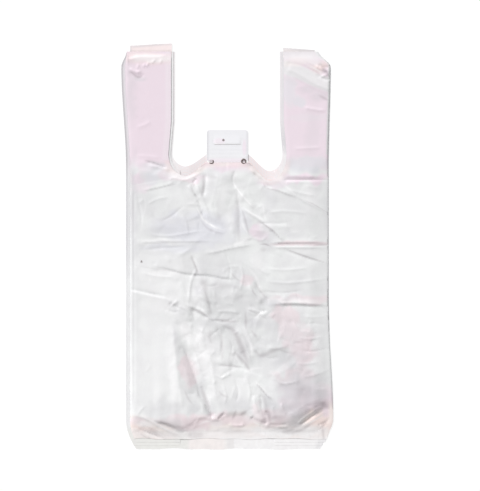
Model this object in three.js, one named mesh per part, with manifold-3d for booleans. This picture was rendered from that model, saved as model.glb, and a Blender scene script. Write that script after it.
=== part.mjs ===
// A vest-style plastic carrier bag, lying flat on its back panel.
// X runs across the bag, Y from the bottom seal to the handles, Z up from the surface it lies on.
// The origin is on that surface, in the middle of the bag's outer box. Lengths are in millimetres.
import * as THREE from 'three';
import { mergeVertices } from 'three/addons/utils/BufferGeometryUtils.js';
import Module from 'manifold-3d';

const wasm = await Module();
wasm.setup();

// The film
const filmWall = 0.45;
const filmGap = 0.45;
const sealedGap = 0.12;

// The blown tube, pressed flat with a gusset tucked into each side
const bodyWidth = 300;
const overallLength = 600;
const gussetDepth = 80;
const frontFoldInsetLeft = 6;
const frontFoldInsetRight = 1.5;

// Bottom seal, and the skirt of loose film below it
const sealHeight = 4;
const skirtLength = 22;
const skirtStep = 5;
const cornerCutLeft = 15;
const cornerCutRight = 13;
const cornerRise = 43;
const cornerFlareRight = 8;
const cornerFlareReach = 190;

// Handles
const handleLength = 185;
const handleWidth = 72.5;
const handleFlareLeft = 7;
const handleFlareRight = 3;
const handleSpread = 4;
const frontEdgeInset = 6;
const handleTaperRun = 16;
const handleTaperLeft = 8;
const handleTaperRight = 19;
const topSealHeight = 18;
const topSealInset = 5;
const topSealLap = 6;
const topSealSlope = 3.5;
const topSealDropRight = 6.5;

// Mouth, cut lower in the front panel than in the back one. Heights are above the mouth line.
const mouthLowLeft = 3;
const mouthLowRight = -4;
const mouthLowPointX = 62;
const mouthRound = 9;
const shoulderHeight = 21;
const shoulderFall = 6;
const flareFoot = 22;
const flareTop = 70;
const frontMouthDrop = 14;
const frontShoulderDrop = 11;

// Header tab, with the line of cuts that it tears off along
const tabWidth = 61;
const tabHeight = 48;
const tabCorner = 5;
const perforationRise = 9;
const perforationPitch = 5.2;
const perforationCut = 3.2;
const perforationSlot = 0.7;
const perforationCount = 7;
const notchRadius = 3.4;
const notchInset = 6.5;
const slitLength = 40;
const slitHeight = 0.9;
const slitBelowTop = 21;
const pinRadius = 1.3;
const pinAboveSlit = 6;
const pinOffset = -6;

// Relief: the gussets take a share of the loft, and the front panel has the fullness and its folds too
const restLoft = 1.6;
const gussetLoftShare = 0.3;
const fullness = 2.2;
const fullnessRun = 80;
const slackStart = 3;
const slackRunIn = 14;
const edgeSlack = 0.3;
const edgeRunIn = 30;
const lipHeight = 6.5;
const lipBack = 46;
const lipDrop = 9;

// Runs over which the layers close up, towards a seal and inwards of the gussets
const sealCloseRun = 20;
const gussetCloseRun = 18;

// Spacing of the points that the folded film is drawn through
const gridStep = 11.6;
const gussetStep = 27;
const backStep = 75;
const curveSteps = 6;

// How far a cut reaches past the film
const cutReach = 40;

// Places that follow from those sizes
const halfWidth = bodyWidth / 2;
const yTop = overallLength / 2;
const yBottom = -yTop;
const yMouth = yTop - handleLength;
const yFrontMouth = yMouth + Math.min(mouthLowLeft, mouthLowRight) - frontMouthDrop;
const yPerforation = yMouth + perforationRise;
const yTabTop = yPerforation + tabHeight;
const yStraps = yTop - topSealHeight;
const ySeal = yBottom + skirtLength;
const handleInner = halfWidth - handleWidth;
const gussetInner = halfWidth - gussetDepth;

const layers = { back: 0, gussetBack: 1, gussetFront: 2, front: 3 };

// Main folds of the front panel: how high each stands, or how deep it lies, how wide it is on each
// side of its crest, and the path of its crest, measured across and up from the middle of the mouth line.
const folds = [
  { rise: 3, reach: 7, path: [[-127, -33], [-103, -28], [-75, -20]] },
  { rise: 3.4, reach: 6, path: [[-128, -107], [-56, -106], [-14, -107]] },
  { rise: -2.4, reach: 6, path: [[-126, -120], [-60, -115]] },
  { rise: 2.8, reach: 5, path: [[78, -12], [160, -11]] },
  { rise: 3, reach: 7, path: [[57, -27], [78, -34], [104, -42], [160, -72]] },
  { rise: 3.4, reach: 5, path: [[62, -109], [160, -108]] },
  { rise: -2.2, reach: 7, path: [[80, -121], [107, -130], [138, -140]] },
  { rise: 4, reach: 9, path: [[4, -14], [22, -38], [44, -61]] },
  { rise: 4.2, reach: 9, path: [[20, -58], [39, -70], [60, -85], [84, -107]] },
  { rise: -2.4, reach: 9, path: [[-55, -22], [-43, -46], [-34, -70]] },
  { rise: 3.6, reach: 8, path: [[-34, -72], [-22, -86], [-2, -91]] },
  { rise: 3, reach: 8, path: [[-41, -126], [-18, -123], [7, -118], [42, -112]] },
  { rise: 3, reach: 8, path: [[-115, -146], [-88, -151], [-60, -157], [-29, -160], [22, -165]] },
  { rise: 3, reach: 7, path: [[-160, -180], [-115, -190], [-88, -196], [-72, -201]] },
  { rise: 4, reach: 10, path: [[-44, -172], [-35, -194], [-27, -218]] },
  { rise: 5.6, reach: 11, path: [[-85, -216], [-85, -262], [-83, -300], [-82, -336]] },
  { rise: -4.5, reach: 10, path: [[-76, -240], [-66, -264], [-58, -300], [-50, -330], [-28, -362]] },
  { rise: 4.6, reach: 10, path: [[-64, -238], [-52, -262], [-40, -300], [-22, -340]] },
  { rise: -3.4, reach: 9, path: [[-2, -230], [14, -250], [23, -272], [31, -296]] },
  { rise: 3.6, reach: 10, path: [[14, -228], [30, -250], [42, -284], [46, -310]] },
  { rise: 2.6, reach: 8, path: [[-20, -292], [7, -293], [30, -298]] },
  { rise: 3.6, reach: 8, path: [[41, -166], [47, -180], [57, -190], [61, -200]] },
  { rise: -3, reach: 6, path: [[62, -200], [90, -198], [160, -202]] },
  { rise: 3.2, reach: 7, path: [[62, -189], [160, -191]] },
  { rise: 3.6, reach: 8, path: [[27, -208], [45, -211], [58, -218]] },
  { rise: 3.4, reach: 9, path: [[50, -262], [68, -272], [88, -266]] },
  { rise: 2.6, reach: 8, path: [[104, -309], [128, -306], [160, -296]] },
  { rise: 3.6, reach: 8, path: [[40, -316], [54, -330], [66, -344]] },
  { rise: 2.2, reach: 6, path: [[-119, 6], [-103, 3], [-87, -3]] },
  { rise: 2.6, reach: 5, path: [[-150, 141], [-132, 134], [-112, 138]] },
  { rise: 3, reach: 7, path: [[86, 150], [118, 136], [150, 124]] },
];

// The lip, where the slack film of the front panel ends: X, and height above the bag's bottom edge.
const lip = [
  [-150, 48], [-128, 50], [-108, 44], [-90, 33], [-72, 28], [-56, 34], [-40, 42],
  [-20, 44], [8, 49], [30, 54], [46, 44], [70, 37], [94, 31], [112, 44], [134, 59], [156, 69],
];

// Eases from 0 at one place to 1 at another, whichever of them is the larger.
function smooth(from, to, value) {
  return THREE.MathUtils.smoothstep((value - from) / (to - from), 0, 1);
}

// The value at a place between [place, value] knots, eased from one knot to the next.
function eased(knots, place) {
  if (place <= knots[0][0]) return knots[0][1];
  for (let i = 1; i < knots.length; i++) {
    const [from, low] = knots[i - 1];
    const [to, high] = knots[i];
    if (place <= to) return low + (high - low) * smooth(from, to, place);
  }
  return knots[knots.length - 1][1];
}

// How far a layer's outer fold lies from the centre line at y, on the left (-1) or right (+1).
function edgeAt(side, layer, y) {
  const inFront = layer >= layers.gussetFront;
  const intoCorner = Math.max(0, 1 - (y - yBottom) / cornerRise) ** 2;
  if (side < 0) {
    const flare = eased([
      [yMouth, 0], [yStraps - handleTaperRun, handleFlareLeft],
      [yStraps + topSealLap, handleFlareLeft - handleTaperLeft],
    ], y);
    const inset = frontFoldInsetLeft * smooth(yStraps + topSealLap, yStraps - handleTaperRun, y);
    return halfWidth + flare - (inFront ? inset : 0) - cornerCutLeft * intoCorner;
  }
  const yFlare = ySeal + skirtLength;
  const flare = eased([
    [ySeal, inFront ? cornerFlareRight / 2 : 0], [yFlare, inFront ? cornerFlareRight : cornerFlareRight / 2],
    [yFlare + cornerFlareReach, 0], [yMouth, 0], [yStraps - handleTaperRun, handleFlareRight],
    [yStraps + topSealLap, handleFlareRight - handleTaperRight],
  ], y);
  return halfWidth + flare - (inFront ? frontFoldInsetRight : 0) - cornerCutRight * intoCorner;
}

function distanceToPath(path, x, y) {
  let nearest = Infinity;
  for (let i = 1; i < path.length; i++) {
    const [ax, ay] = path[i - 1];
    const [bx, by] = path[i];
    const dx = bx - ax;
    const dy = by - ay;
    const share = THREE.MathUtils.clamp(((x - ax) * dx + (y - ay) * dy) / (dx * dx + dy * dy), 0, 1);
    nearest = Math.min(nearest, Math.hypot(x - ax - share * dx, y - ay - share * dy));
  }
  return nearest;
}

// Where there is slack film: none at the seals, the tab, the mouth's edge and the handles' inner edges.
function slackAt(x, y) {
  const across = Math.abs(x);
  const toEdge = edgeAt(Math.sign(x) || 1, layers.front, y) - across;
  const toMouth = yFrontMouth - y;
  const toHandleEdge = across - handleInner - frontEdgeInset;
  return (edgeSlack + (1 - edgeSlack) * smooth(0, edgeRunIn, toEdge))
    * smooth(slackStart, slackRunIn, y - ySeal)
    * smooth(slackStart, slackRunIn, yStraps - y)
    * smooth(slackStart, slackRunIn, Math.max(toMouth, toHandleEdge));
}

// How far the front panel's folds stand above the loft.
function reliefAt(x, y) {
  let rise = fullness * smooth(0, fullnessRun, yMouth - y);
  for (const fold of folds) {
    const far = distanceToPath(fold.path, x, y - yMouth) / fold.reach;
    rise += fold.rise * Math.exp(-far * far);
  }
  const aboveLip = y - yBottom - eased(lip, x);
  rise += lipHeight * smooth(-lipDrop, 0, aboveLip) * Math.exp(-Math.max(aboveLip, 0) / lipBack);
  return Math.max(rise, 0);
}

// The gap between neighbouring layers, which the seals close up.
function gapAt(y) {
  const fromTop = yStraps + topSealLap - y;
  const open = smooth(0, sealCloseRun, y - ySeal) * smooth(0, sealCloseRun, fromTop);
  const inSkirt = smooth(ySeal - sealHeight, yBottom, y);
  return sealedGap + (filmGap - sealedGap) * Math.max(open, inSkirt);
}

// The height of a layer's lower face: the front panel sinks to the back one where no gusset is between.
function layerFloor(layer, x, y) {
  const pitch = filmWall + gapAt(y);
  const loft = restLoft * slackAt(x, y);
  if (layer < layers.front) return layer * (pitch + loft * gussetLoftShare / layers.gussetFront);
  const clear = gussetInner - filmGap - filmWall - Math.abs(x);
  const sunk = (layers.front - 1) * pitch * smooth(0, gussetCloseRun, clear);
  return layer * pitch - sunk + loft + reliefAt(x, y) * slackAt(x, y);
}

// Divides a run into steps of at most the grid step, both ends included.
function divided(from, to, step) {
  const count = Math.max(1, Math.round(Math.abs(to - from) / step));
  return Array.from({ length: count + 1 }, (_, i) => from + (to - from) * i / count);
}

// One turn round the flattened tube. Each point has its share of the way from the centre line to the
// outer fold, its layer, and whether it lies on that layer's upper (1) or lower (0) face.
// The film's outer face is drawn for inside = 0, and its inner face, one wall further in, for inside = 1.
function turnRoundTube(inside) {
  const points = [];
  const gussetShares = divided(1, gussetInner / halfWidth, gussetStep / halfWidth);
  const add = (share, layer, upper) => points.push({ share, layer, upper, inside });
  const frontShares = divided(1, -1, gridStep / halfWidth);
  const backShares = divided(-1, 1, backStep / halfWidth);
  backShares.forEach((share) => add(share, layers.back, inside));
  gussetShares.forEach((share) => add(share, layers.gussetBack, 1 - inside));
  gussetShares.toReversed().forEach((share) => add(share, layers.gussetFront, inside));
  frontShares.forEach((share) => add(share, layers.front, 1 - inside));
  gussetShares.forEach((share) => add(-share, layers.gussetFront, inside));
  gussetShares.toReversed().forEach((share) => add(-share, layers.gussetBack, 1 - inside));
  return points;
}

// Where a point of the tube's turn comes to lie at the station y.
function placed({ share, layer, upper, inside }, y) {
  const side = Math.sign(share) || 1;
  const atGussetFold = Math.abs(Math.abs(share) - gussetInner / halfWidth) < 1e-6;
  const isGusset = layer === layers.gussetBack || layer === layers.gussetFront;
  const edge = edgeAt(side, layer, y);
  let x = share * edge;
  if (inside && Math.abs(share) === 1) x -= side * filmWall;
  if (isGusset && Math.abs(share) < 1) {
    const fold = gussetInner - (inside && atGussetFold ? filmWall : 0);
    x = side * (atGussetFold ? fold : gussetInner + (Math.abs(share) * halfWidth - gussetInner)
      / gussetDepth * (edge - gussetInner));
  }
  const stepUp = layer * skirtStep * Math.max(0, 1 - (y - yBottom) / skirtLength);
  return new THREE.Vector3(x, y + stepUp, layerFloor(layer, x, y) + (upper ? filmWall : 0));
}

function solidFrom(positions, indices) {
  const geometry = new THREE.BufferGeometry();
  geometry.setAttribute('position', new THREE.Float32BufferAttribute(positions, 3));
  geometry.setIndex(indices);
  return solidOf(geometry);
}

function solidOf(geometry) {
  geometry.deleteAttribute('normal');
  geometry.deleteAttribute('uv');
  const merged = mergeVertices(geometry, 1e-4);
  return new wasm.Manifold(new wasm.Mesh({
    numProp: 3,
    vertProperties: new Float32Array(merged.attributes.position.array),
    triVerts: new Uint32Array(merged.index.array),
  }));
}

// The film tube as one hollow wall, open at both ends.
function filmTube() {
  const stations = [
    ...divided(yBottom, ySeal + sealHeight, gridStep),
    ...divided(ySeal + sealHeight, yStraps + topSealLap, gridStep).slice(1),
  ];
  const outer = turnRoundTube(0);
  const inner = turnRoundTube(1);
  const turn = outer.length;
  const positions = [];
  for (const y of stations) {
    for (const point of [...outer, ...inner]) positions.push(...placed(point, y).toArray());
  }
  const indices = [];
  const quad = (a, b, c, d) => indices.push(a, b, c, a, c, d);
  const last = stations.length - 1;
  for (let i = 0; i < turn; i++) {
    const next = (i + 1) % turn;
    for (let j = 0; j < last; j++) {
      const here = j * 2 * turn;
      const up = here + 2 * turn;
      quad(here + i, up + i, up + next, here + next);
      quad(here + turn + i, here + turn + next, up + turn + next, up + turn + i);
    }
    const top = last * 2 * turn;
    quad(i, next, turn + next, turn + i);
    quad(top + i, top + turn + i, top + turn + next, top + next);
  }
  return solidFrom(positions, indices);
}

function prism(shape, low, high) {
  const geometry = new THREE.ExtrudeGeometry(shape, {
    depth: high - low, bevelEnabled: false, curveSegments: curveSteps,
  });
  geometry.translate(0, 0, low);
  return solidOf(geometry);
}

// One side of the mouth: from the tab's top, down its side, round the low point and up the handle.
function mouthSide(side, inset, drop) {
  const tab = tabWidth / 2;
  const handle = handleInner + inset;
  const flared = handle + handleSpread;
  const low = yMouth + (side < 0 ? mouthLowLeft : mouthLowRight) - drop;
  const shoulder = yMouth + shoulderHeight - (drop ? frontShoulderDrop : 0);
  const path = new THREE.Path();
  path.moveTo(tab - tabCorner, yTabTop);
  path.quadraticCurveTo(tab, yTabTop, tab, yTabTop - tabCorner);
  path.lineTo(tab, shoulder);
  path.bezierCurveTo(
    tab + mouthRound, shoulder - shoulderFall, mouthLowPointX - mouthRound, low, mouthLowPointX, low,
  );
  path.bezierCurveTo(
    mouthLowPointX + mouthRound, low, flared, low + mouthRound, flared, yMouth + flareFoot,
  );
  path.lineTo(handle, yMouth + flareTop);
  path.lineTo(handle, yTop + cutReach);
  return path.getPoints(curveSteps).map((point) => new THREE.Vector2(side * point.x, point.y));
}

// What is cut away between the handles, round the tab.
function mouthOutline(inset, drop) {
  return new THREE.Shape([
    ...mouthSide(-1, inset, drop).toReversed(),
    ...mouthSide(1, inset, drop),
  ]);
}

// The front panel and straps are cut further back than the layers behind them.
function frontMouthCut() {
  const outline = mouthOutline(frontEdgeInset, frontMouthDrop);
  const pitch = filmWall + filmGap;
  const overGusset = prism(outline, layers.front * pitch - filmGap / 2, cutReach);
  const overBack = prism(outline, pitch - filmGap / 2, cutReach);
  const middleWidth = 2 * (gussetInner - filmWall - filmGap / 2);
  const middle = new THREE.BoxGeometry(middleWidth, 2 * overallLength, 2 * cutReach);
  return overGusset.add(overBack.intersect(solidOf(middle)));
}

function rectangle(left, right, low, high) {
  return new THREE.Shape([
    new THREE.Vector2(left, low), new THREE.Vector2(right, low),
    new THREE.Vector2(right, high), new THREE.Vector2(left, high),
  ]);
}

function disc(x, y, radius) {
  const shape = new THREE.Shape();
  shape.absarc(x, y, radius, 0, Math.PI * 2);
  return shape;
}

// The tab's two layers are welded into one stiff plate.
function tabWeld() {
  const inset = filmWall / 2;
  const tab = tabWidth / 2 - inset;
  const shape = rectangle(-tab, tab, yPerforation + filmWall, yTabTop - tabCorner);
  return prism(shape, inset, 2 * filmWall + filmGap - inset);
}

function tabHoles() {
  const slitY = yTabTop - slitBelowTop;
  const cuts = [
    rectangle(-slitLength / 2, slitLength / 2, slitY, slitY + slitHeight),
    disc(pinOffset, slitY + pinAboveSlit, pinRadius),
    disc(notchInset - tabWidth / 2, yPerforation, notchRadius),
    disc(tabWidth / 2 - notchInset, yPerforation, notchRadius),
  ];
  for (let i = 0; i < perforationCount; i++) {
    const middle = (i - (perforationCount - 1) / 2) * perforationPitch;
    cuts.push(rectangle(
      middle - perforationCut / 2, middle + perforationCut / 2,
      yPerforation - perforationSlot / 2, yPerforation + perforationSlot / 2,
    ));
  }
  return cuts.map((shape) => prism(shape, -cutReach, cutReach));
}

// The welded strip across the top of each handle.
function topSeal(side) {
  const outer = side * (edgeAt(side, layers.back, yStraps + topSealLap) - topSealInset);
  const inner = side * (handleInner + topSealInset);
  const thick = 4 * filmWall + 3 * sealedGap;
  const low = yStraps - topSealLap / 2;
  const top = yTop - (side > 0 ? topSealDropRight : 0);
  const corners = [[outer, low], [inner, low], [inner, top], [outer, top - topSealSlope]];
  return prism(new THREE.Shape(corners.map(([x, y]) => new THREE.Vector2(x, y))), 0, thick);
}

// The weld that closes the tube above the skirt, as high as the front panel is there.
function bottomSeal() {
  const across = divided(-1, 1, gridStep / halfWidth);
  const positions = [];
  const indices = [];
  for (const y of [ySeal - sealHeight, ySeal]) {
    for (const share of across) {
      const x = share * (edgeAt(Math.sign(share) || 1, layers.front, y) - filmWall);
      positions.push(x, y, filmWall / 2, x, y, layerFloor(layers.front, x, y) + filmWall / 2);
    }
  }
  const row = across.length * 2;
  const quad = (a, b, c, d) => indices.push(a, b, c, a, c, d);
  for (let i = 0; i < row - 2; i += 2) {
    quad(i, i + row, i + row + 2, i + 2);
    quad(i + 1, i + 3, i + row + 3, i + row + 1);
    quad(i, i + 2, i + 3, i + 1);
    quad(i + row, i + row + 1, i + row + 3, i + row + 2);
  }
  quad(0, 1, row + 1, row);
  quad(row - 2, 2 * row - 2, 2 * row - 1, row - 1);
  return solidFrom(positions, indices);
}

function carrierBag() {
  let bag = filmTube().subtract(prism(mouthOutline(0, 0), -cutReach, cutReach));
  bag = bag.subtract(frontMouthCut());
  bag = bag.add(tabWeld());
  for (const hole of tabHoles()) bag = bag.subtract(hole);
  return bag.add(bottomSeal()).add(topSeal(-1)).add(topSeal(1));
}

function meshOf(solid, name, material) {
  const { vertProperties, triVerts } = solid.getMesh();
  const geometry = new THREE.BufferGeometry();
  geometry.setAttribute('position', new THREE.BufferAttribute(vertProperties, 3));
  geometry.setIndex(new THREE.BufferAttribute(triVerts, 1));
  geometry.computeBoundingBox();
  const { min, max } = geometry.boundingBox;
  geometry.translate(-(min.x + max.x) / 2, -(min.y + max.y) / 2, -min.z);
  const mesh = new THREE.Mesh(geometry, material);
  mesh.name = name;
  return mesh;
}

const film = new THREE.MeshStandardMaterial({
  color: new THREE.Color(0.93, 0.91, 0.92), roughness: 0.38, metalness: 0, side: THREE.DoubleSide,
});

const model = new THREE.Group();
model.name = 'plastic_carrier_bag';
model.add(meshOf(carrierBag(), 'carrier_bag', film));

export default model;
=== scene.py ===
"""A vest-style plastic carrier bag of thin white film, lying flat, seen from straight above.

Lengths are in millimetres until a mesh is made: X across the bag, Y from the bottom weld to the
handles, Z up from the surface that the bag lies on.
"""
import math

import bpy
import numpy as np
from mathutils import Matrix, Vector
from mathutils.geometry import delaunay_2d_cdt


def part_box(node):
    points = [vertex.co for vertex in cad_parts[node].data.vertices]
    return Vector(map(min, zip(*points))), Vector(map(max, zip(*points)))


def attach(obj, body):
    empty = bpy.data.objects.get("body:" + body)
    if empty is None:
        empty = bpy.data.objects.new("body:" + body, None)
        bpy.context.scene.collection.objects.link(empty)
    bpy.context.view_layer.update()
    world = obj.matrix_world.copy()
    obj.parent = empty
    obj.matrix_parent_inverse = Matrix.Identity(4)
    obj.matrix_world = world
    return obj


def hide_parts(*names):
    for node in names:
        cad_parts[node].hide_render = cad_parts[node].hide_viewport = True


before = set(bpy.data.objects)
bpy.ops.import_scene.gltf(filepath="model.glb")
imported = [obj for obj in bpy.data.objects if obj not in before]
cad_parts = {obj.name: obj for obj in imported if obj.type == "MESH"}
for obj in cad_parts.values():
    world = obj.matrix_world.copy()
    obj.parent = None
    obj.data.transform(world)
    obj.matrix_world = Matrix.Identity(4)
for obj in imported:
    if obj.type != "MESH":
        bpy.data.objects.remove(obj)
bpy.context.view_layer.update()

MM = 0.001
BAG = "carrier_bag"
BAG_LOW, BAG_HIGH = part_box(BAG)
LEFT, RIGHT = -1, 1

# Sizes of the bag, as its solid has them
LENGTH = (BAG_HIGH.y - BAG_LOW.y) / MM
HALF_WIDTH = 150.0
GUSSET_DEPTH = 80.0
HANDLE_LENGTH = 185.0
HANDLE_WIDTH = 72.5
FRONT_INSET_LEFT = 6.0
FRONT_INSET_RIGHT = 1.5
SKIRT = 22.0
SKIRT_STEP = 5.0
WELD_HEIGHT = 4.0
CORNER_RISE = 43.0
CORNER_CUT = {LEFT: 15.0, RIGHT: 13.0}
CORNER_FLARE = 8.0
CORNER_FLARE_REACH = 190.0
HANDLE_FLARE = {LEFT: 7.0, RIGHT: 3.0}
HANDLE_TAPER = {LEFT: 8.0, RIGHT: 19.0}
HANDLE_TAPER_RUN = 16.0
HANDLE_SPREAD = 4.0
FRONT_HANDLE_INSET = 6.0
TOP_WELD_HEIGHT = 18.0
TOP_WELD_LAP = 6.0
TOP_WELD_INSET = 5.0
TOP_WELD_SLOPE = 3.5
TOP_WELD_DROP = {LEFT: 0.0, RIGHT: 6.5}
MOUTH_LOW = {LEFT: 3.0, RIGHT: -4.0}
MOUTH_LOW_X = 62.0
MOUTH_ROUND = 9.0
SHOULDER_HEIGHT = 21.0
SHOULDER_FALL = 6.0
FLARE_FOOT = 22.0
FLARE_TOP = 70.0
FRONT_MOUTH_DROP = 14.0
FRONT_SHOULDER_DROP = 11.0
TAB_WIDTH = 61.0
TAB_HEIGHT = 48.0
TAB_CORNER = 5.0
TEAR_LINE_RISE = 9.0
NOTCH_RADIUS = 3.4
NOTCH_INSET = 6.5
SLIT_LENGTH = 40.0
SLIT_BELOW_TOP = 21.0
PIN_RADIUS = 1.3
PIN_ABOVE_SLIT = 6.0
PIN_OFFSET = -6.0
TIE_COUNT = 8
TIE_PITCH = 5.2
TIE_WIDTH = 2.0
TIE_LENGTH = 1.8
TIE_WALL = 0.3
TIE_LEVEL = 0.8

Y_TOP = LENGTH / 2
Y_BOTTOM = -Y_TOP
Y_MOUTH = Y_TOP - HANDLE_LENGTH
Y_TEAR = Y_MOUTH + TEAR_LINE_RISE
Y_TAB_TOP = Y_TEAR + TAB_HEIGHT
Y_STRAPS = Y_TOP - TOP_WELD_HEIGHT
Y_STRAP_ENDS = Y_STRAPS + TOP_WELD_LAP
Y_WELD = Y_BOTTOM + SKIRT
TAB_HALF = TAB_WIDTH / 2
HANDLE_INNER = HALF_WIDTH - HANDLE_WIDTH
GUSSET_INNER = HALF_WIDTH - GUSSET_DEPTH

# The film, how its layers lie, and how fine each piece's mesh is
FILM_WALL = 0.14
LOWEST = 0.02
BACK, GUSSET_BACK, GUSSET_FRONT, FRONT = range(4)
LAYER_LIFT = {BACK: 0.05, GUSSET_BACK: 0.45, GUSSET_FRONT: 0.85, FRONT: 1.3}
PRESSED_STEP = 0.19
Y_PRESSED = Y_WELD - 2
Y_PARTED = Y_WELD + 16
FINE_STEP = 1.55
UNDER_STEP = 4.5
BACK_STEP = 2.2
GUSSET_STEP = 3.0
TAB_STEP = 0.8
TOP_WELD_STEP = 1.6
SHARP_ANGLE = math.radians(70)

# How far the front film stands off the layers below it
BODY_LOFT = 3.0
HANDLE_LOFT = {LEFT: 0.7, RIGHT: 1.1}
SIDE_ROLL = {LEFT: 4.0, RIGHT: 1.3}
MOUTH_RUN = 26.0
CUT_EDGE_LOFT = 0.8
CUT_EDGE_RELIEF = 0.3
LEAST_LOFT = 0.15
FOOT_LOFT = 0.05
WELD_DENT = 0.6
SKIRT_CRINKLE = 0.45


# Curves, distances and noise

def smooth(start, end, value):
    """Eases from 0 at start to 1 at end, whichever of them is the larger."""
    share = np.clip((value - start) / (end - start), 0, 1)
    return share * share * (3 - 2 * share)


def between(rise, fall, value):
    """1 between two places, eased from 0 over the one range and back to 0 over the other."""
    return smooth(*rise, value) * smooth(*fall, value)


def eased(knots, place):
    """The value at a place between (place, value) knots, eased from one knot to the next."""
    value = np.full(np.shape(place), float(knots[0][1]))
    for (start, low), (end, high) in zip(knots, knots[1:]):
        value = value + (high - low) * smooth(start, end, place)
    return value


CURVE_STEPS = 6


def curve(points):
    """A smooth curve through listed points."""
    points = np.array(points, float)
    if len(points) < 3:
        share = np.linspace(0, 1, CURVE_STEPS + 1)[:, None]
        return points[0] + (points[1] - points[0]) * share
    ends = np.vstack([2 * points[0] - points[1], points, 2 * points[-1] - points[-2]])
    share = np.linspace(0, 1, CURVE_STEPS, endpoint=False)[:, None]
    spans = []
    for a, b, c, d in zip(ends, ends[1:], ends[2:], ends[3:]):
        spans.append(0.5 * (2 * b + (c - a) * share + (2 * a - 5 * b + 4 * c - d) * share**2
                            + (3 * b - 3 * c + d - a) * share**3))
    return np.vstack([*spans, points[-1:]])


def bezier(a, b, c, d, steps=8):
    share = np.linspace(0, 1, steps + 1)[1:, None]
    a, b, c, d = (np.array(p, float) for p in (a, b, c, d))
    return ((1 - share)**3 * a + 3 * (1 - share)**2 * share * b
            + 3 * (1 - share) * share**2 * c + share**3 * d)


def closed(loop):
    return np.vstack([loop, loop[:1]])


def to_path(path, x, y):
    """Distance to a path, which side of it a point is on (+1 is the left), and how far along it."""
    best = np.full(x.shape, 1e9)
    side = np.zeros(x.shape)
    along = np.zeros(x.shape)
    steps = np.hypot(*np.diff(path, axis=0).T)
    total = max(steps.sum(), 1e-6)
    done = 0.0
    for (ax, ay), (bx, by), step in zip(path, path[1:], steps):
        dx, dy = bx - ax, by - ay
        share = np.clip(((x - ax) * dx + (y - ay) * dy) / max(step * step, 1e-9), 0, 1)
        far = np.hypot(x - ax - share * dx, y - ay - share * dy)
        nearer = far < best
        best = np.where(nearer, far, best)
        side = np.where(nearer, np.sign(dx * (y - ay) - dy * (x - ax)), side)
        along = np.where(nearer, (done + share * step) / total, along)
        done += step
    return best, side, along


def inside(outline, x, y):
    """Whether each point lies inside a closed outline."""
    odd = np.zeros(x.shape, bool)
    for (ax, ay), (bx, by) in zip(outline, np.roll(outline, -1, axis=0)):
        crosses = (ay > y) != (by > y)
        if ay != by:
            odd ^= crosses & (x < (bx - ax) * (y - ay) / (by - ay) + ax)
    return odd


def patch(x, y, centre, reach, soft=0.35):
    """1 inside an oval and 0 outside it, with a soft rim."""
    far = np.hypot((x - centre[0]) / reach[0], (y - centre[1]) / reach[1])
    return smooth(1 + soft, 1 - soft, far)


NOISE_CELLS = 80
NOISE_SHIFT = (37.3, 41.7)


def lattice_noise(x, y, size, seed):
    """Smooth noise from -1 to 1 on a lattice of the given cell size."""
    rng = np.random.default_rng(seed)
    values = rng.uniform(-1, 1, (NOISE_CELLS, NOISE_CELLS))
    u, v = x / size + NOISE_SHIFT[0], y / size + NOISE_SHIFT[1]
    i, j = np.floor(u).astype(int), np.floor(v).astype(int)
    s, t = smooth(0, 1, u - i), smooth(0, 1, v - j)
    i0, i1 = i % NOISE_CELLS, (i + 1) % NOISE_CELLS
    j0, j1 = j % NOISE_CELLS, (j + 1) % NOISE_CELLS
    low = values[i0, j0] * (1 - s) + values[i1, j0] * s
    high = values[i0, j1] * (1 - s) + values[i1, j1] * s
    return low * (1 - t) + high * t


# Outlines of the layers

def edge_at(side, layer, y):
    """How far a layer's outer fold lies from the centre line at y."""
    in_front = layer >= GUSSET_FRONT
    into_corner = np.maximum(0, 1 - (y - Y_BOTTOM) / CORNER_RISE)**2
    taper = [(Y_STRAPS - HANDLE_TAPER_RUN, HANDLE_FLARE[side]),
             (Y_STRAP_ENDS, HANDLE_FLARE[side] - HANDLE_TAPER[side])]
    if side == LEFT:
        flare = eased([(Y_MOUTH, 0), *taper], y)
        inset = FRONT_INSET_LEFT * smooth(Y_STRAP_ENDS, Y_STRAPS - HANDLE_TAPER_RUN, y) * in_front
    else:
        y_flare = Y_WELD + SKIRT
        low, high = (CORNER_FLARE / 2, CORNER_FLARE) if in_front else (0, CORNER_FLARE / 2)
        flare = eased([(Y_WELD, low), (y_flare, high), (y_flare + CORNER_FLARE_REACH, 0),
                       (Y_MOUTH, 0), *taper], y)
        inset = FRONT_INSET_RIGHT * in_front
    return HALF_WIDTH + flare - inset - CORNER_CUT[side] * into_corner


def from_fold(layer, x, y):
    """How far each point is from the layer's outer fold on the point's side of the bag."""
    return np.where(x < 0, edge_at(LEFT, layer, y), edge_at(RIGHT, layer, y)) - np.abs(x)


def mouth_side(side, inset, drop):
    """One side of the mouth, from the tab's foot round the low point and up the handle."""
    handle = HANDLE_INNER + inset
    flared = handle + HANDLE_SPREAD
    low = Y_MOUTH + MOUTH_LOW[side] - drop
    shoulder = Y_MOUTH + SHOULDER_HEIGHT - (FRONT_SHOULDER_DROP if drop else 0)
    points = [
        np.array([[TAB_HALF, Y_TEAR], [TAB_HALF, shoulder]]),
        bezier((TAB_HALF, shoulder), (TAB_HALF + MOUTH_ROUND, shoulder - SHOULDER_FALL),
               (MOUTH_LOW_X - MOUTH_ROUND, low), (MOUTH_LOW_X, low)),
        bezier((MOUTH_LOW_X, low), (MOUTH_LOW_X + MOUTH_ROUND, low),
               (flared, low + MOUTH_ROUND), (flared, Y_MOUTH + FLARE_FOOT)),
        np.array([[handle, Y_MOUTH + FLARE_TOP], [handle, Y_STRAP_ENDS]]),
    ]
    return np.vstack(points) * (side, 1)


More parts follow.
